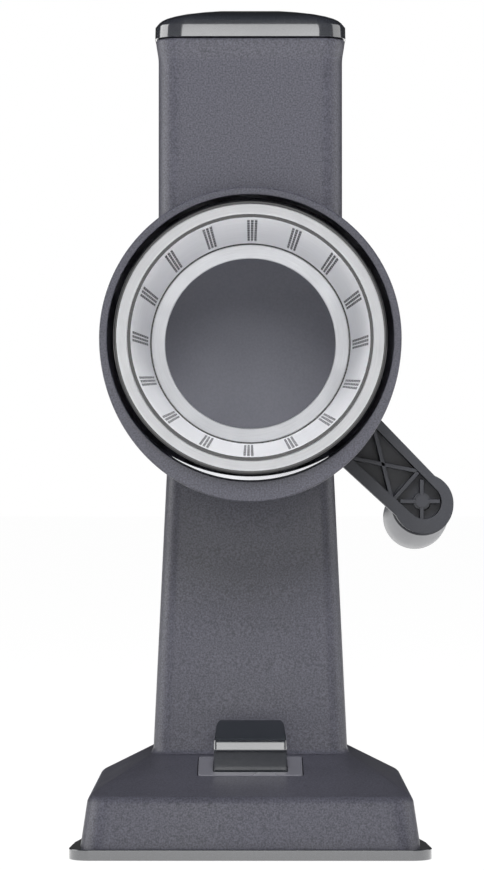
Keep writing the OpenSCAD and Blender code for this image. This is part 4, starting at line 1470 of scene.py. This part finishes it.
class GRATER_OT_stage(bpy.types.Operator):
    """Set the pale floor, the soft studio light and the camera"""

    bl_idname = "grater.stage"
    bl_label = "Stage"

    def execute(self, context):
        scene = context.scene
        scene.view_settings.view_transform = "Standard"
        deselect()
        bpy.ops.mesh.primitive_plane_add(size=24.0, location=(0, 0, -0.0002))
        floor = bpy.context.object
        floor.name = "floor"
        material = bpy.data.materials.new("floor_white")
        material.use_nodes = True
        pen = Shader(material.node_tree)
        skin = material.node_tree.nodes["Principled BSDF"]
        skin.inputs["Base Color"].default_value = (0.8, 0.8, 0.8, 1.0)
        skin.inputs["Roughness"].default_value = 0.8
        skin.inputs["Specular IOR Level"].default_value = 0.1
        skin.inputs["Emission Color"].default_value = (1.0, 1.0, 1.0, 1.0)
        skin.inputs["Emission Strength"].default_value = 0.2
        glow = pen.node("ShaderNodeEmission")
        path = pen.node("ShaderNodeLightPath")
        mixed = pen.node("ShaderNodeMixShader")
        seen = pen.math("ADD", path.outputs["Is Camera Ray"], path.outputs["Is Glossy Ray"])
        pen.feed(mixed.inputs[0], pen.math("MULTIPLY", seen, 0.9))
        pen.feed(glow.inputs["Strength"], pen.math("MULTIPLY_ADD", path.outputs["Is Glossy Ray"], 0.4, 1.07))
        pen.feed(mixed.inputs[1], skin.outputs[0])
        pen.feed(mixed.inputs[2], glow.outputs[0])
        pen.feed(material.node_tree.nodes["Material Output"].inputs["Surface"], mixed.outputs[0])
        floor.data.materials.append(material)

        world = bpy.data.worlds.new("studio")
        scene.world = world
        world.use_nodes = True
        tree = world.node_tree
        tree.nodes.clear()
        pen = Shader(tree)
        direction = pen.node("ShaderNodeTexCoord").outputs["Generated"]
        parts = pen.node("ShaderNodeSeparateXYZ")
        pen.feed(parts.inputs[0], direction)
        level = pen.spread(parts.outputs["Z"], 0.08, 0.62, 1.0, 0.12)
        level = pen.math("MULTIPLY", level, pen.spread(parts.outputs["Y"], -0.1, 0.4, 1.0, 0.2))
        glow = pen.node("ShaderNodeBackground")
        glow.inputs["Color"].default_value = (1.0, 1.0, 1.0, 1.0)
        pen.feed(glow.inputs["Strength"], pen.math("MULTIPLY", level, 0.24))
        seen = pen.node("ShaderNodeBackground")
        seen.inputs["Color"].default_value = (1.0, 1.0, 1.0, 1.0)
        path = pen.node("ShaderNodeLightPath")
        mixed = pen.node("ShaderNodeMixShader")
        pen.feed(mixed.inputs[0], path.outputs["Is Camera Ray"])
        pen.feed(mixed.inputs[1], glow.outputs[0])
        pen.feed(mixed.inputs[2], seen.outputs[0])
        output = pen.node("ShaderNodeOutputWorld")
        pen.feed(output.inputs["Surface"], mixed.outputs[0])

        softbox("front_light", (0.0, -1.9, 0.27), (0, 0, 0.2), 0.72, 0.78, 4.9)
        key = softbox("key_light", (0.0, -1.35, 1.23), (0, 0, 0.2), 0.55, 0.63, 30.0)
        key.visible_glossy = False
        softbox("left_light", (-1.25, 0.0, 0.35), (0, 0, 0.2), 0.95, 1.2, 9.0)
        softbox("right_light", (1.25, 0.0, 0.35), (0, 0, 0.2), 0.95, 1.2, 4.5)

        distance, eye = 1.35, 0.1448
        lens, pitch, yaw = 138.6207, math.radians(0.76959), math.radians(0.14281)
        bpy.ops.object.camera_add(location=(0.0, -distance, eye))
        camera = bpy.context.object
        camera.data.sensor_width = 36.0
        camera.data.lens = lens
        camera.rotation_euler = (math.pi / 2 + pitch, 0.0, yaw)
        camera.data.clip_start = 0.05
        camera.data.clip_end = 60.0
        scene.camera = camera
        return {"FINISHED"}


class GRATER_PT_panel(bpy.types.Panel):
    """The grater's operators, sizes and colours"""

    bl_label = "Grater"
    bl_idname = "GRATER_PT_panel"
    bl_space_type = "VIEW_3D"
    bl_region_type = "UI"
    bl_category = "Grater"

    def draw(self, context):
        for operator in OPERATORS:
            self.layout.operator(operator.bl_idname)
        for name, group in SETTINGS.items():
            box = self.layout.box()
            for key in group.__annotations__:
                box.prop(getattr(context.scene, name), key)


OPERATORS = (
    GRATER_OT_finishes,
    GRATER_OT_foot,
    GRATER_OT_column,
    GRATER_OT_housing,
    GRATER_OT_chute,
    GRATER_OT_pusher,
    GRATER_OT_drum,
    GRATER_OT_crank,
    GRATER_OT_grip,
    GRATER_OT_lever,
    GRATER_OT_carried,
    GRATER_OT_stage,
)


def register():
    """Registers the settings, the operators and the panel."""
    for group in SETTINGS.values():
        bpy.utils.register_class(group)
    for name, group in SETTINGS.items():
        setattr(bpy.types.Scene, name, bpy.props.PointerProperty(type=group))
    for operator in OPERATORS:
        bpy.utils.register_class(operator)
    bpy.utils.register_class(GRATER_PT_panel)


def unregister():
    """Removes what register added."""
    bpy.utils.unregister_class(GRATER_PT_panel)
    for operator in reversed(OPERATORS):
        bpy.utils.unregister_class(operator)
    for name, group in SETTINGS.items():
        delattr(bpy.types.Scene, name)
        bpy.utils.unregister_class(group)


def main():
    """Makes the whole object in order."""
    register()
    for operator in OPERATORS:
        group, name = operator.bl_idname.split(".")
        getattr(getattr(bpy.ops, group), name)()


if __name__ == "__main__":
    main()
